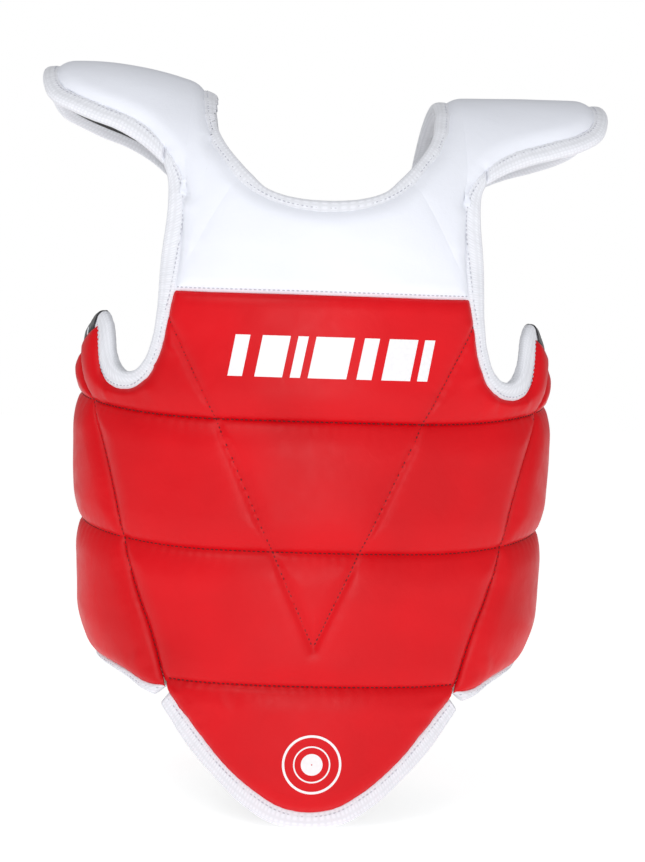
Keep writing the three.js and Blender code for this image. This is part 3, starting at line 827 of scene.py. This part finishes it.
# --- pads: cover, foam and lining of one shape ---
def pad_grids(step):
    """The pattern grids of every padded shape, by name."""
    grids = {}
    def shares(surface, choice):
        """Shares that are given, or one for each step along a line."""
        return choice if isinstance(choice, np.ndarray) else spaced(surface, choice, step)

    def even(length, start=0.0, end=1.0):
        """Shares from start to end, for steps along so many mm."""
        return np.linspace(start, end, max(3, int(length / step) + 1))

    def grid(surface, bottom, top, left, right, us=None, vs=None):
        us = shares(surface, bottom if us is None else us)
        vs = shares(surface, left if vs is None else vs)
        return surface, coons(bottom, top, left, right, us, vs)
    # upper row and the pieces under the armholes
    arm = Line((CHEST_END, 0), *ARMHOLE_RED[::-1])
    arm_left = Line((-CHEST_END, 0), *flipped(ARMHOLE_RED[::-1]))
    share = arm.knots[1]
    under = even(29)
    rows = np.r_[under * share, share + even(75)[1:] * (1 - share)]
    bottom = Line((-CHEST_END, 0), (CHEST_END, 0))
    grids["chest_upper"] = [
        grid(body, bottom, Line((-38, 104), (38, 104)), arm_left, arm, bottom, rows)
    ]
    side_bottom = Line((CHEST_END, 0), (71, 0))
    side_top = Line(*(ARMHOLE_REAR + HORN_TOP[1:]))
    side = grid(body, side_bottom, side_top, Part(arm, 0, share), Line(*HINGE_TOP), side_top, under)
    grids["side_left"] = [side]
    grids["side_right"] = [mirrored_grid(side)]

    # two lower rows between the slanted seams
    across = spaced(body, Line((-60, -50), (60, -50)), step)
    slant, slant_left = Line(*SLANT[::-1]), Line(*flipped(SLANT[::-1]))
    low, low_left = Line(*SLANT_LOW[::-1]), Line(*flipped(SLANT_LOW[::-1]))
    middle_bottom = Line((-54.5, -108), (54.5, -108))
    tall = even(108)
    grids["chest_middle"] = [
        grid(body, middle_bottom, Line((-71, 0), (71, 0)), slant_left, slant, across, tall)
    ]
    foot = Line((-39.7, -220), (39.7, -220))
    grids["chest_lower"] = [grid(body, foot, middle_bottom, low_left, low, across, tall)]

    # wings
    wing_mid_top = Line(*WING_MIDDLE_TOP)
    row_end = wing_mid_top.knots[1]
    row_columns = even(88, 0, row_end)
    wide = np.r_[row_columns, even(150, row_end, 1)[1:]]
    wing_low_top = Line((54.5, -108), (150, -108))
    wing = {
        "upper": grid(
            body, Part(wing_mid_top, 0, row_end), Line(*WING_DROP), Line(*HINGE_TOP),
            Line((101, 0), (101, 8)), np.linspace(0, 1, len(row_columns)), even(36),
        ),
        "middle": grid(
            body, wing_low_top, wing_mid_top, slant, Line(*WING_REAR_MIDDLE), wide, tall
        ),
        "lower": grid(
            body, Line(*WING_HEM), wing_low_top,
            Line((39.5, -227), (44.5, -182), (50, -145), (54.5, -108)), Line(*WING_REAR_LOW),
            wide, tall,
        ),
    }
    for row, shape in wing.items():
        grids[f"wing_{row}_left"] = [shape]
        grids[f"wing_{row}_right"] = [mirrored_grid(shape)]

    # flap
    flap_bottom = Line(*both_sides(FLAP_HEM[::-1]))
    flap_top = Line((-39, -221), (39, -221))
    grids["flap"] = [
        grid(
            body, flap_bottom, flap_top, Line(*flipped(FLAP_SIDE)), Line(*FLAP_SIDE), flap_top,
            even(100),
        )
    ]

    # yoke, shoulders and caps
    yoke_top = Line(*both_sides(NECK_SEAM))
    crease = Line(*CREASE[::-1])
    grids["yoke"] = [
        grid(
            body, Line((-38, 104), (38, 104)), yoke_top, Line(*flipped(CREASE[::-1])), crease,
            yoke_top, crease,
        )
    ]
    outer = Line(*SHOULDER_OUTER)
    first = outer.knots[len(ARMHOLE_FRONT) - 1]
    arch_rows = even(235, first, 1)
    shoulder = grid(
        body, Line(*CREASE), Line(*SHOULDER_END), Line(*NECK_SIDE_LINE), outer,
        Line((21.5, 150), (44.7, 150)), np.r_[even(115, 0, first), arch_rows[1:]],
    )

    def to_cap(p):
        """Angles of the body's pattern as distances across the cap's."""
        return np.stack([HALF_WIDTH * np.sin(np.radians(p[..., 0])), p[..., 1]], -1)

    for side, reach in CAP_REACH.items():
        front, tip, back, _ = cap_lines(reach)
        parts = {
            "shoulder": shoulder,
            "cap": grid(
                cap, Line(*front), Line(*back), Part(outer, first, 1.0, to_cap), Line(*tip),
                Line(*front), np.linspace(0, 1, len(arch_rows)),
            ),
        }
        for part, shape in parts.items():
            grids[f"{part}_{side}"] = [shape if side == "left" else mirrored_grid(shape)]
    return grids


COVER_THICKNESS = 1.2
FOAM_STEP = 5.0
LINING_STEP = 4.0
DRAWN_THROUGH = 0.25  # share of a seam's dip that the lining side takes up


def sewn_groups():
    """Each cover and its lining: names, shapes, look, motion, nodes, and pads behind each."""
    chest = motion_of("chest")
    upper, lower = ["chest_foam_upper_pad"], ["chest_foam_middle_pad", "chest_foam_lower_pad"]
    groups = [
        (
            "chest_{}_upper_{}", ["chest_upper", "side_left", "side_right"], "red", chest,
            ["chest_{}_upper", "side_{}_left", "side_{}_right"], upper, upper,
        ),
        (
            "chest_{}_lower_{}", ["chest_middle", "chest_lower"], "red", chest,
            ["chest_{}_lower"], lower, lower,
        ),
    ]
    for part, look in (("yoke", "white"), ("flap", "red")):
        pads = [f"{part}_foam_pad"]
        motion = motion_of("flap") if part == "flap" else chest
        groups.append((part + "_{}_{}", [part], look, motion, [part + "_{}"], pads, pads))
    for side in SIDES:
        pads = [f"wing_foam_{row}_pad_{side}" for row in ROWS]
        groups.append((
            "wing_{}_{}_" + side, [f"wing_{row}_{side}" for row in ROWS], "red",
            motion_of("wing", side), ["wing_{}_" + side], pads, pads[1:2],
        ))
        pads = [f"{part}_foam_pad_{side}" for part in ("shoulder", "cap")]
        groups.append((
            "shoulder_{}_{}_" + side, [f"shoulder_{side}", f"cap_{side}"], "white",
            motion_of("cap", side), ["shoulder_{}_" + side, "cap_{}_" + side], pads, pads,
        ))
    return groups


def build_cover(name, grids, look, motion, nodes):
    """A vinyl cover: a thin closed skin drawn in at every seam."""
    sheet = Sheet(grids)
    top, _ = cover_top(sheet.points)
    made = sheet.solid(name, top - COVER_THICKNESS, top)
    finish_piece(made, look, motion, nodes)
    declare_sheet(sheet)


def build_foam(stem, end, grids, motion):
    """A foam pad that fills the space between a cover and its lining."""
    sheet = Sheet(grids)
    top, dip = cover_top(sheet.points)
    low = 1.7 + DRAWN_THROUGH * dip
    made = sheet.solid(f"{stem}_pad{end}", low, np.maximum(top - 2 * COVER_THICKNESS, low + 0.4))
    finish_piece(made, "foam", motion, [stem + end])


def build_lining(name, grids, motion, nodes):
    """A woven lining, drawn outwards a little where the quilting passes through."""
    sheet = Sheet(grids)
    _, dip = cover_top(sheet.points)
    low = DRAWN_THROUGH * dip - 0.2
    made = sheet.solid(name, low, low + 0.9)
    finish_piece(made, "lining", motion, nodes)
    declare_sheet(sheet)


def superellipse(angle, power):
    c, s = np.cos(angle), np.sin(angle)
    return np.sign(c) * np.abs(c) ** (2 / power), np.sign(s) * np.abs(s) ** (2 / power)
TAPE_STEP = 2.2
TAPE_MIDDLE = 8.25
TAPE_HALF = 5.35
TAPE_ROUND = 2.7
TAPE_SEAM = 2.6  # from the cover's edge to the row of stitches
WHOLE = (0.0, 1.0)


def build_tape(
    name, inner, outer, surface, motion, nodes, look="tape", swollen=0.0, stretch=WHOLE
):
    """Binding tape folded round a cut edge: a rounded closed tube with small gathers."""
    lip = sizes().tape_lip / MM + swollen
    spots = inner.at(np.linspace(0, 1, 200))
    run = np.linalg.norm(np.diff(surface(spots[:, 0], spots[:, 1]), axis=0), axis=1).sum()
    share = np.linspace(*stretch, int(run * (stretch[1] - stretch[0]) / TAPE_STEP) + 1)
    a, b = inner.at(share), outer.at(share)
    bare = np.linalg.norm(surface(*a.T) - surface(*b.T), axis=1)
    width = bare + swollen
    ring = np.linspace(0, 2 * np.pi, 29)[:-1]
    # -1 on the cover's side, 1 on the open side; the fold is rounder than the lap
    cx, cy = superellipse(ring, TAPE_ROUND)
    along = share * run
    end = np.minimum(1, np.minimum(along, run - along) / 3 + 0.55)
    grid = np.zeros((len(share), len(ring), 3))
    for k, (x, y) in enumerate(zip(cx, cy)):
        across = (x + 1) / 2 * (width + lip) - lip
        spot = a + (b - a) * (across / (width - swollen))[:, None]
        gather = 0.22 * np.sin(along / 1.15 + 1.9 * np.sin(along / 13)) * abs(y)
        gather += 0.3 * np.sin(along / 5.3 + 2 * np.sin(along / 31)) * abs(y)
        thick = (TAPE_HALF + swollen) * end * y + gather * (1 if y > 0 else -1)
        grid[:, k] = place(surface, spot[:, 0], spot[:, 1], TAPE_MIDDLE + thick)
    rows, columns = grid.shape[:2]
    ids = np.arange(rows * columns).reshape(rows, columns)
    step = np.roll(ids, -1, axis=1)
    quads = np.stack([ids[:-1], step[:-1], step[1:], ids[1:]], -1).reshape(-1, 4)
    faces = [tuple(q) for q in quads.tolist()]
    faces += [tuple(ids[0][::-1].tolist()), tuple(ids[-1].tolist())]
    uv = np.stack(np.broadcast_arrays(along[:, None], ring[None] * 5.5), -1)
    made = mesh_object(name, grid.reshape(-1, 3), faces, uv.reshape(-1, 2) * MM)
    fix_normals(made)
    finish_piece(made, look, motion, nodes)
    row = a + (b - a) * (TAPE_SEAM / width)[:, None]
    height = TAPE_MIDDLE + TAPE_HALF - 0.25
    return place(surface, row[:, 0], row[:, 1], height), normals(surface, row[:, 0], row[:, 1])


def fix_normals(made):
    """Turns every face outwards."""
    mesh = bmesh.new()
    mesh.from_mesh(made.data)
    bmesh.ops.recalc_face_normals(mesh, faces=mesh.faces)
    mesh.to_mesh(made.data)
    mesh.free()


SINK = 0.35  # how far the ends of a stitch sink into the cover
STITCH_SIDES = 6


def build_stitches(name, runs, look, motion):
    """Sewing stitches: short pressed-in lengths of thread along each run of points."""
    s = sizes()
    pitch, length, half = s.stitch_pitch / MM, s.stitch_length / MM, s.thread_width / MM / 2
    ring = np.linspace(0, 2 * np.pi, STITCH_SIDES + 1)[:-1]
    points, faces = [], []
    for path, out in runs:
        run = np.r_[0, np.cumsum(np.linalg.norm(np.diff(path, axis=0), axis=1))]
        for middle in np.arange(pitch, run[-1] - pitch / 2, pitch):
            spots = middle + np.array([-0.5, -0.3, 0.0, 0.3, 0.5]) * length
            p = np.stack([np.interp(spots, run, path[:, k]) for k in range(3)], -1)
            n = np.stack([np.interp(middle, run, out[:, k]) for k in range(3)], -1)
            n = n / np.linalg.norm(n)
            forward = p[-1] - p[0]
            forward = forward / np.linalg.norm(forward)
            wide = np.cross(n, forward)
            base = len(points)
            points.append(p[0] - n * SINK)
            for k, grow in ((1, 0.85), (2, 1.0), (3, 0.85)):
                for q in ring:
                    turned = wide * math.cos(q) + n * math.sin(q) * 0.8
                    points.append(p[k] + turned * half * grow)
            points.append(p[4] - n * SINK)
            first, last = base + 1, base + 1 + 2 * STITCH_SIDES
            tip = last + STITCH_SIDES
            for k in range(STITCH_SIDES):
                following = (k + 1) % STITCH_SIDES
                faces.append((base, first + following, first + k))
                for r in (first, first + STITCH_SIDES):
                    a, b = r + k, r + following
                    faces.append((a, b, b + STITCH_SIDES, a + STITCH_SIDES))
                faces.append((tip, last + k, last + following))
    made = mesh_object(name, points, faces)
    fix_normals(made)
    finish_piece(made, look, motion, ())


def sewn_run(points):
    """Points and outward directions along a sewn line, lying on the cover."""
    spots = Line(*points).at(np.linspace(0, 1, 160))
    base = place(body, spots[:, 0], spots[:, 1], PAD)
    out = normals(body, spots[:, 0], spots[:, 1])
    top, _ = cover_top(base)
    return base + out * (top - PAD + 0.25)[:, None], out

# --- operators ---
class PROTECTOR_OT_covers(bpy.types.Operator):
    """Build the vinyl covers"""

    bl_idname = "protector.covers"
    bl_label = "Covers"

    def execute(self, context):
        g = pad_grids(sizes().mesh_step / MM)
        for name, shapes, look, motion, nodes, pads, _ in sewn_groups():
            grids = [part for shape in shapes for part in g[shape]]
            nodes = [node.format("cover") for node in nodes]
            build_cover(name.format("cover", "skin"), grids, look, motion, nodes)
        return {"FINISHED"}


class PROTECTOR_OT_foams(bpy.types.Operator):
    """Build the foam pads inside the covers"""

    bl_idname = "protector.foams"
    bl_label = "Foam pads"

    def execute(self, context):
        g = pad_grids(FOAM_STEP)
        chest = motion_of("chest")
        for row in ROWS:
            build_foam(f"chest_foam_{row}", "", g[f"chest_{row}"], chest)
        build_foam("yoke_foam", "", g["yoke"], chest)
        build_foam("flap_foam", "", g["flap"], motion_of("flap"))
        for side in SIDES:
            end = f"_{side}"
            build_foam("side_foam", end, g["side" + end], chest)
            for row in ROWS:
                build_foam(
                    f"wing_foam_{row}", end, g[f"wing_{row}{end}"], motion_of("wing", side)
                )
            for part in ("shoulder", "cap"):
                build_foam(f"{part}_foam", end, g[part + end], motion_of("cap", side))
        return {"FINISHED"}


class PROTECTOR_OT_linings(bpy.types.Operator):
    """Build the woven linings"""

    bl_idname = "protector.linings"
    bl_label = "Linings"

    def execute(self, context):
        g = pad_grids(LINING_STEP)
        for name, shapes, _, motion, nodes, _, pads in sewn_groups():
            grids = [part for shape in shapes for part in g[shape]]
            nodes = [node.format("lining") for node in nodes]
            build_lining(name.format("lining", "sheet"), grids, motion, nodes)
        return {"FINISHED"}


def sewn_tape(stem, end, inner, outer, surface, motion, node, stretch=WHOLE):
    """A binding tape and the row of stitches that holds it."""
    run = build_tape(stem + end, inner, outer, surface, motion, [node + end], stretch=stretch)
    build_stitches(f"{stem}_stitches{end}", [run], "white_thread", motion)


ARMHOLE_SPLIT = 0.22
HORN_INNER = (0.90, 0.985)
HORN_OUTER = (0.87, 0.985)


class PROTECTOR_OT_tapes(bpy.types.Operator):
    """Build the folded binding tapes and their stitches"""

    bl_idname = "protector.tapes"
    bl_label = "Binding tapes"

    def execute(self, context):
        chest, flap = motion_of("chest"), motion_of("flap")
        sewn_tape(
            "neck_tape", "", Line(*both_sides(NECK_LINE)), Line(*both_sides(NECK_HOLE)), body,
            chest, "neck_binding",
        )
        sewn_tape(
            "flap_tape", "", Line(*both_sides(FLAP_INNER)), Line(*both_sides(FLAP_OUTER)), body,
            flap, "flap_binding",
        )
        for side in SIDES:
            end = f"_{side}"
            front, tip, back, outer = cap_lines(CAP_REACH[side])
            for part, seam, edge, surface in (
                ("wing", WING_EDGE, WING_OUTER, body),
                ("cap", front + tip[1:-1] + back[::-1], outer, cap),
            ):
                sewn_tape(
                    f"{part}_tape", end, Line(*on_side(seam, side)), Line(*on_side(edge, side)),
                    surface, motion_of(part, side), f"{part}_binding",
                )
            # The armhole's tape is made in two parts: the front one is given the cap's two bodies
            # but is attached to neither, and the one below is attached to the chest.
            inner, hole = Line(*on_side(ARMHOLE, side)), Line(*on_side(ARMHOLE_HOLE, side))
            for part, stretch, motion in (
                ("front", (0.0, ARMHOLE_SPLIT), motion_of("cap", side)),
                ("under", (ARMHOLE_SPLIT, 1.0), chest),
            ):
                sewn_tape(
                    f"armhole_tape_{part}", end, inner, hole, body, motion, "armhole_binding",
                    stretch,
                )
            build_tape(
                "horn_tip_band" + end, Part(inner, *HORN_INNER), Part(hole, *HORN_OUTER), body,
                chest, [], "elastic", 0.7,
            )
        return {"FINISHED"}


class PROTECTOR_OT_stitches(bpy.types.Operator):
    """Sew the quilt seams"""

    bl_idname = "protector.stitches"
    bl_label = "Quilt stitches"

    def execute(self, context):
        chest = [
            sewn_run([(-end, height), (0, height), (end, height)])
            for end, height in ((70.5, 0), (54, -108), (39, -219))
        ]
        for side in SIDES:
            chest.append(sewn_run(on_side(CHEVRON, side)))
            chest.append(sewn_run(on_side(SLANT_SEAM, side)))
        build_stitches("chest_quilt_stitches", chest, "red_thread", motion_of("chest"))
        yoke = [sewn_run([(-37.5, 107), (0, 107), (37.5, 107)])]
        build_stitches(
            "yoke_stitches", yoke, "white_thread", motion_of("chest")
        )
        for side in SIDES:
            rows = [
                sewn_run(on_side([(72, 0), (88, 0), (103, 0)], side)),
                sewn_run(on_side([(55.5, -108), (100, -108), (149, -108)], side)),
            ]
            build_stitches(
                f"wing_quilt_stitches_{side}", rows, "red_thread", motion_of("wing", side)
            )
        return {"FINISHED"}


STRAP_TOP = (152, 176)
STRAP_END = (228, -34)
STRAP_HALF = 19 / math.cos(math.radians(40))
STRAP_OUTSIDE = {"left": -5.5, "right": -8.8}
STRAP_THICKNESS = 1.6
PATCH_HALF = 19
BELT_HALF = 22
BELT_HEIGHTS = {"upper": -55.0, "lower": -165.0}
BELT_INSIDE, BELT_OUTSIDE = 20.08, 22.28
PILE_INSIDE, PILE_OUTSIDE = 17.63, 18.83
RIB_HEIGHT = 0.12
RIB_COUNT = 16


def strip_grid(start, end, half, step):
    """A band of pattern points from start to end; its ends are upright."""
    (x1, y1), (x2, y2) = start, end
    low, high = Line((x1, y1 - half), (x2, y2 - half)), Line((x1, y1 + half), (x2, y2 + half))
    left, right = Line((x1, y1 - half), (x1, y1 + half)), Line((x2, y2 - half), (x2, y2 + half))
    us = spaced(plain_body, low, step)
    vs = np.linspace(0, 1, max(3, int(2 * half / 1.1) + 1))
    return plain_body, coons(low, high, left, right, us, vs), us, vs


def build_band(name, band, low, high, ribs, look, motion, nodes):
    """A strap or belt: a flat closed band with its ribs and rounded edges."""
    surface, spots, us, vs = band
    sheet = Sheet([(surface, spots)])
    across = (vs[:, None] + 0 * us[None, :]).ravel()
    whole = len(across) == len(sheet.points)
    edge = np.minimum(across, 1 - across)
    rounding = 0.45 * np.exp(-edge / 0.02) * (high - low)
    rib = ribs * np.cos(across * 2 * math.pi * RIB_COUNT)
    if not whole:
        rib = rounding = np.zeros(len(sheet.points))
    made = sheet.solid(name, low + rounding - rib, high - rounding + rib)
    if whole:
        sheet.uv[:, 1] = across * 0.04
    finish_piece(made, look, motion, nodes)
    declare_sheet(sheet)


def strap_motion(side):
    """A strap hangs from its own shoulder, and its far end goes with the opposite wing."""
    end = Vector(plain_body(np.array(STRAP_END[0]), np.array(STRAP_END[1])).tolist()) * MM
    middle = Vector((0.0, end.y + 0.03, 0.06))
    if side == "right":
        end.x = -end.x
    other = "right" if side == "left" else "left"
    return ("chest", f"{other}_wing", middle, end)


class PROTECTOR_OT_straps(bpy.types.Operator):
    """Build the back tabs, crossed straps, belts and loop patches"""

    bl_idname = "protector.straps"
    bl_label = "Straps and belts"

    def execute(self, context):
        tab = (
            plain_body,
            coons(
                Line((146, 160), (160, 172)), Line((136, 222), (146, 222)),
                Line((146, 160), (136, 222)), Line((160, 172), (146, 222)),
                np.linspace(0, 1, 16), np.linspace(0, 1, 26),
            ),
        )
        for side in SIDES:
            sheet = Sheet([tab if side == "left" else mirrored_grid(tab)])
            rim = np.full(len(sheet.points), -1.4)
            made = sheet.solid(f"shoulder_tab_patch_{side}", rim - 2.4, rim)
            finish_piece(made, "white", motion_of("chest"), [f"shoulder_tab_{side}"])
            declare_sheet(sheet)
            band = strip_grid(STRAP_TOP, STRAP_END, STRAP_HALF, 3.0)
            if side == "right":
                band = (*mirrored_grid(band[:2]), *band[2:])
            top = STRAP_OUTSIDE[side]
            build_band(
                f"cross_strap_band_{side}", band, top - STRAP_THICKNESS, top, RIB_HEIGHT,
                "elastic", strap_motion(side), [f"cross_strap_{side}"],
            )
        share = (180 - STRAP_TOP[0]) / (STRAP_END[0] - STRAP_TOP[0])
        height = STRAP_TOP[1] + (STRAP_END[1] - STRAP_TOP[1]) * share
        build_band(
            "cross_patch_cover", strip_grid((173, height), (187, height), PATCH_HALF, 2.0),
            -3.8, -1.4, 0.0, "white", motion_of("chest"), ["cross_patch"],
        )
        for name, height in BELT_HEIGHTS.items():
            pivot, _ = hinge(f"{name}_belt_peel")
            start, end = pivot + Vector((-0.004, 0, 0)), pivot + Vector((0.012, 0, 0))
            for piece, node, ends, step, low, high, ribs, look, motion in (
                (
                    "belt_band", "belt", (126, 209.5), 3.0, BELT_INSIDE, BELT_OUTSIDE,
                    RIB_HEIGHT, "elastic", ("right_wing", f"{name}_belt", start, end),
                ),
                (
                    "belt_end_band", "belt_end", (210.5, 222), 2.0, PILE_INSIDE, BELT_OUTSIDE,
                    RIB_HEIGHT, "elastic", motion_of("right_wing"),
                ),
                (
                    "loop_patch_pile", "loop_patch", (128, 147), 2.0, PILE_INSIDE, PILE_OUTSIDE,
                    0.0, "pile", motion_of("left_wing"),
                ),
            ):
                band = strip_grid((ends[0], height), (ends[1], height), BELT_HALF, step)
                build_band(
                    f"{piece}_{name}", band, low, high, ribs, look, motion, [f"{node}_{name}"]
                )
        return {"FINISHED"}


def print_mark(name, spots, motion):
    """A printed mark: a film of ink that follows the cover."""
    sheet = Sheet([(body, spots)])
    top, _ = cover_top(sheet.points)
    finish_piece(sheet.solid(name, top - 0.25, top + 0.22), "ink", motion)


BARS = [(-80, 12), (-58, 22), (-30, 8), (-16, 30), (22, 12), (42, 24), (72, 9)]
BARS_MIDDLE, BARS_LOW, BARS_HIGH, BARS_LEAN = 5.0, 36.0, 70.0, 6.0
RINGS = ((22.6, 24.6), (14.2, 15.4), (0.6, 9.0))
RINGS_MIDDLE = (2.0, -283.0)


class PROTECTOR_OT_prints(bpy.types.Operator):
    """Print the plain marks: slanted bars on the chest and rings on the flap"""

    bl_idname = "protector.prints"
    bl_label = "Printed marks"

    def execute(self, context):
        per_degree = HALF_WIDTH * math.radians(1)
        for number, (start, width) in enumerate(BARS, 1):
            corners = [
                (start, BARS_LOW), (start + width, BARS_LOW), (start + BARS_LEAN, BARS_HIGH),
                (start + width + BARS_LEAN, BARS_HIGH),
            ]
            a, b, c, d = [((x + BARS_MIDDLE) / per_degree, y) for x, y in corners]
            us = np.linspace(0, 1, max(3, int(width / 1.5) + 1))
            vs = np.linspace(0, 1, 22)
            spots = coons(Line(a, b), Line(c, d), Line(a, c), Line(b, d), us, vs)
            print_mark(f"chest_bar_{number}", spots, motion_of("chest"))
        turns = np.linspace(0, 2 * np.pi, 73)
        for number, (inner, outer) in enumerate(RINGS, 1):
            radii = np.linspace(outer, inner, 3 if inner > 5 else 6)
            x = RINGS_MIDDLE[0] + np.cos(turns)[None, :] * radii[:, None]
            y = RINGS_MIDDLE[1] + np.sin(turns)[None, :] * radii[:, None]
            print_mark(f"flap_ring_{number}", np.stack([x / per_degree, y], -1), motion_of("flap"))
        return {"FINISHED"}


WHITE = (1, 1, 1, 1)
FLOOR_GLOW = 0.62
FLOOR_GAP = 0.002
WORLD_SEEN, WORLD_LIGHT = 1.0, 0.40
AIM = Vector((0, 0, -0.03))
# name, place, width, height, watts
LIGHTS = (
    ("key_softbox", (-0.7, -1.9, 1.7), 1.4, 1.2, 15.0),
    ("fill_softbox", (1.6, -1.8, 0.5), 1.6, 1.6, 3.0),
    ("front_softbox", (0.0, -2.6, 0.2), 0.9, 0.9, 12.0),
)
CAMERA_PLACE = (-0.08793, -1.79785, 0.06)
CAMERA_TURN = (3.077, -2.284, 1.808)  # yaw, pitch and roll in degrees
CAMERA_LENS = 85.6


def build_floor(scene, low_z):
    """Matt painted board: plain, pale, no shine."""
    z = low_z - FLOOR_GAP
    mesh = bpy.data.meshes.new("floor")
    mesh.from_pydata([(-9, -6, z), (-9, 9, z), (9, -6, z), (9, 9, z)], [], [(0, 2, 3, 1)])
    floor = bpy.data.objects.new("floor", mesh)
    scene.collection.objects.link(floor)
    paper, tree, shader = new_material("Matt white board, painted", {"Roughness": 0.95})
    spot = add_node(tree, "ShaderNodeTexCoord").outputs["Object"]
    two_tone(tree, shader, spot, linear("#FAFAFA"), linear("#FFFFFF"), 2.0)
    shader.inputs["Emission Color"].default_value = WHITE
    shader.inputs["Emission Strength"].default_value = FLOOR_GLOW
    mesh.materials.append(paper)
    floor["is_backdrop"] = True


def build_world(scene):
    """A backdrop that is seen white, and lights the object more softly than it looks."""
    world = bpy.data.worlds.new("studio")
    world.use_nodes = True
    tree = world.node_tree
    tree.nodes.clear()
    seen, lit = (
        add_node(tree, "ShaderNodeBackground", {"Color": WHITE, "Strength": strength})
        for strength in (WORLD_SEEN, WORLD_LIGHT)
    )
    ray = add_node(tree, "ShaderNodeLightPath")
    mixed = add_node(
        tree, "ShaderNodeMixShader",
        links={0: ray.outputs["Is Camera Ray"], 1: lit.outputs[0], 2: seen.outputs[0]},
    )
    add_node(tree, "ShaderNodeOutputWorld", links={"Surface": mixed.outputs[0]})
    scene.world = world


def build_lights(scene):
    """Soft boxes that face the middle of the object."""
    for name, spot, width, height, power in LIGHTS:
        data = bpy.data.lights.new(name, "AREA")
        data.shape = "RECTANGLE"
        data.size, data.size_y, data.energy = width, height, power
        lamp = bpy.data.objects.new(name, data)
        lamp.location = spot
        lamp.rotation_mode = "QUATERNION"
        lamp.rotation_quaternion = (AIM - Vector(spot)).to_track_quat("-Z", "Y")
        scene.collection.objects.link(lamp)


def build_camera(scene):
    """The camera, turned by its yaw, pitch and roll."""
    data = bpy.data.cameras.new("camera")
    data.lens, data.sensor_width = CAMERA_LENS, 36.0
    data.clip_start, data.clip_end = 0.05, 50.0
    camera = bpy.data.objects.new("camera", data)
    yaw, pitch, roll = (math.radians(v) for v in CAMERA_TURN)
    flat = math.cos(pitch)
    forward = Vector((math.sin(yaw) * flat, math.cos(yaw) * flat, math.sin(pitch)))
    level = Vector((math.cos(yaw), -math.sin(yaw), 0.0))
    upright = level.cross(forward)
    right = level * math.cos(roll) + upright * math.sin(roll)
    up = upright * math.cos(roll) - level * math.sin(roll)
    turn = Matrix((right, up, -forward)).transposed().to_4x4()
    camera.matrix_world = Matrix.Translation(CAMERA_PLACE) @ turn
    scene.collection.objects.link(camera)
    scene.camera = camera


class PROTECTOR_OT_stage(bpy.types.Operator):
    """Set up the floor, the lights and the camera"""

    bl_idname = "protector.stage"
    bl_label = "Stage"

    def execute(self, context):
        scene = context.scene
        build_floor(scene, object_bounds()[0].z)
        build_world(scene)
        build_lights(scene)
        build_camera(scene)
        scene.view_settings.view_transform = "Standard"
        return {"FINISHED"}


class PROTECTOR_PT_panel(bpy.types.Panel):
    """Sizes, colours and pieces of the chest protector"""

    bl_label = "Chest protector"
    bl_idname = "PROTECTOR_PT_panel"
    bl_space_type = "VIEW_3D"
    bl_region_type = "UI"
    bl_category = "Protector"

    def draw(self, context):
        for group in (context.scene.protector_sizes, context.scene.protector_colours):
            for key in group.__annotations__:
                self.layout.prop(group, key)
        for operator in OPERATORS:
            self.layout.operator(operator.bl_idname)


OPERATORS = (
    PROTECTOR_OT_covers,
    PROTECTOR_OT_foams,
    PROTECTOR_OT_linings,
    PROTECTOR_OT_tapes,
    PROTECTOR_OT_stitches,
    PROTECTOR_OT_straps,
    PROTECTOR_OT_prints,
    PROTECTOR_OT_stage,
)
CLASSES = (ProtectorSizes, ProtectorColours, *OPERATORS, PROTECTOR_PT_panel)


def register():
    for item in CLASSES:
        bpy.utils.register_class(item)
    bpy.types.Scene.protector_sizes = bpy.props.PointerProperty(type=ProtectorSizes)
    bpy.types.Scene.protector_colours = bpy.props.PointerProperty(type=ProtectorColours)


def unregister():
    del bpy.types.Scene.protector_sizes
    del bpy.types.Scene.protector_colours
    for item in reversed(CLASSES):
        bpy.utils.unregister_class(item)


def main():
    register()
    make_materials()
    draw_seams()
    bpy.ops.protector.covers()
    bpy.ops.protector.foams()
    bpy.ops.protector.linings()
    bpy.ops.protector.tapes()
    bpy.ops.protector.stitches()
    bpy.ops.protector.straps()
    bpy.ops.protector.prints()
    bpy.ops.protector.stage()
    bpy.context.view_layer.update()


if __name__ == "__main__":
    main()
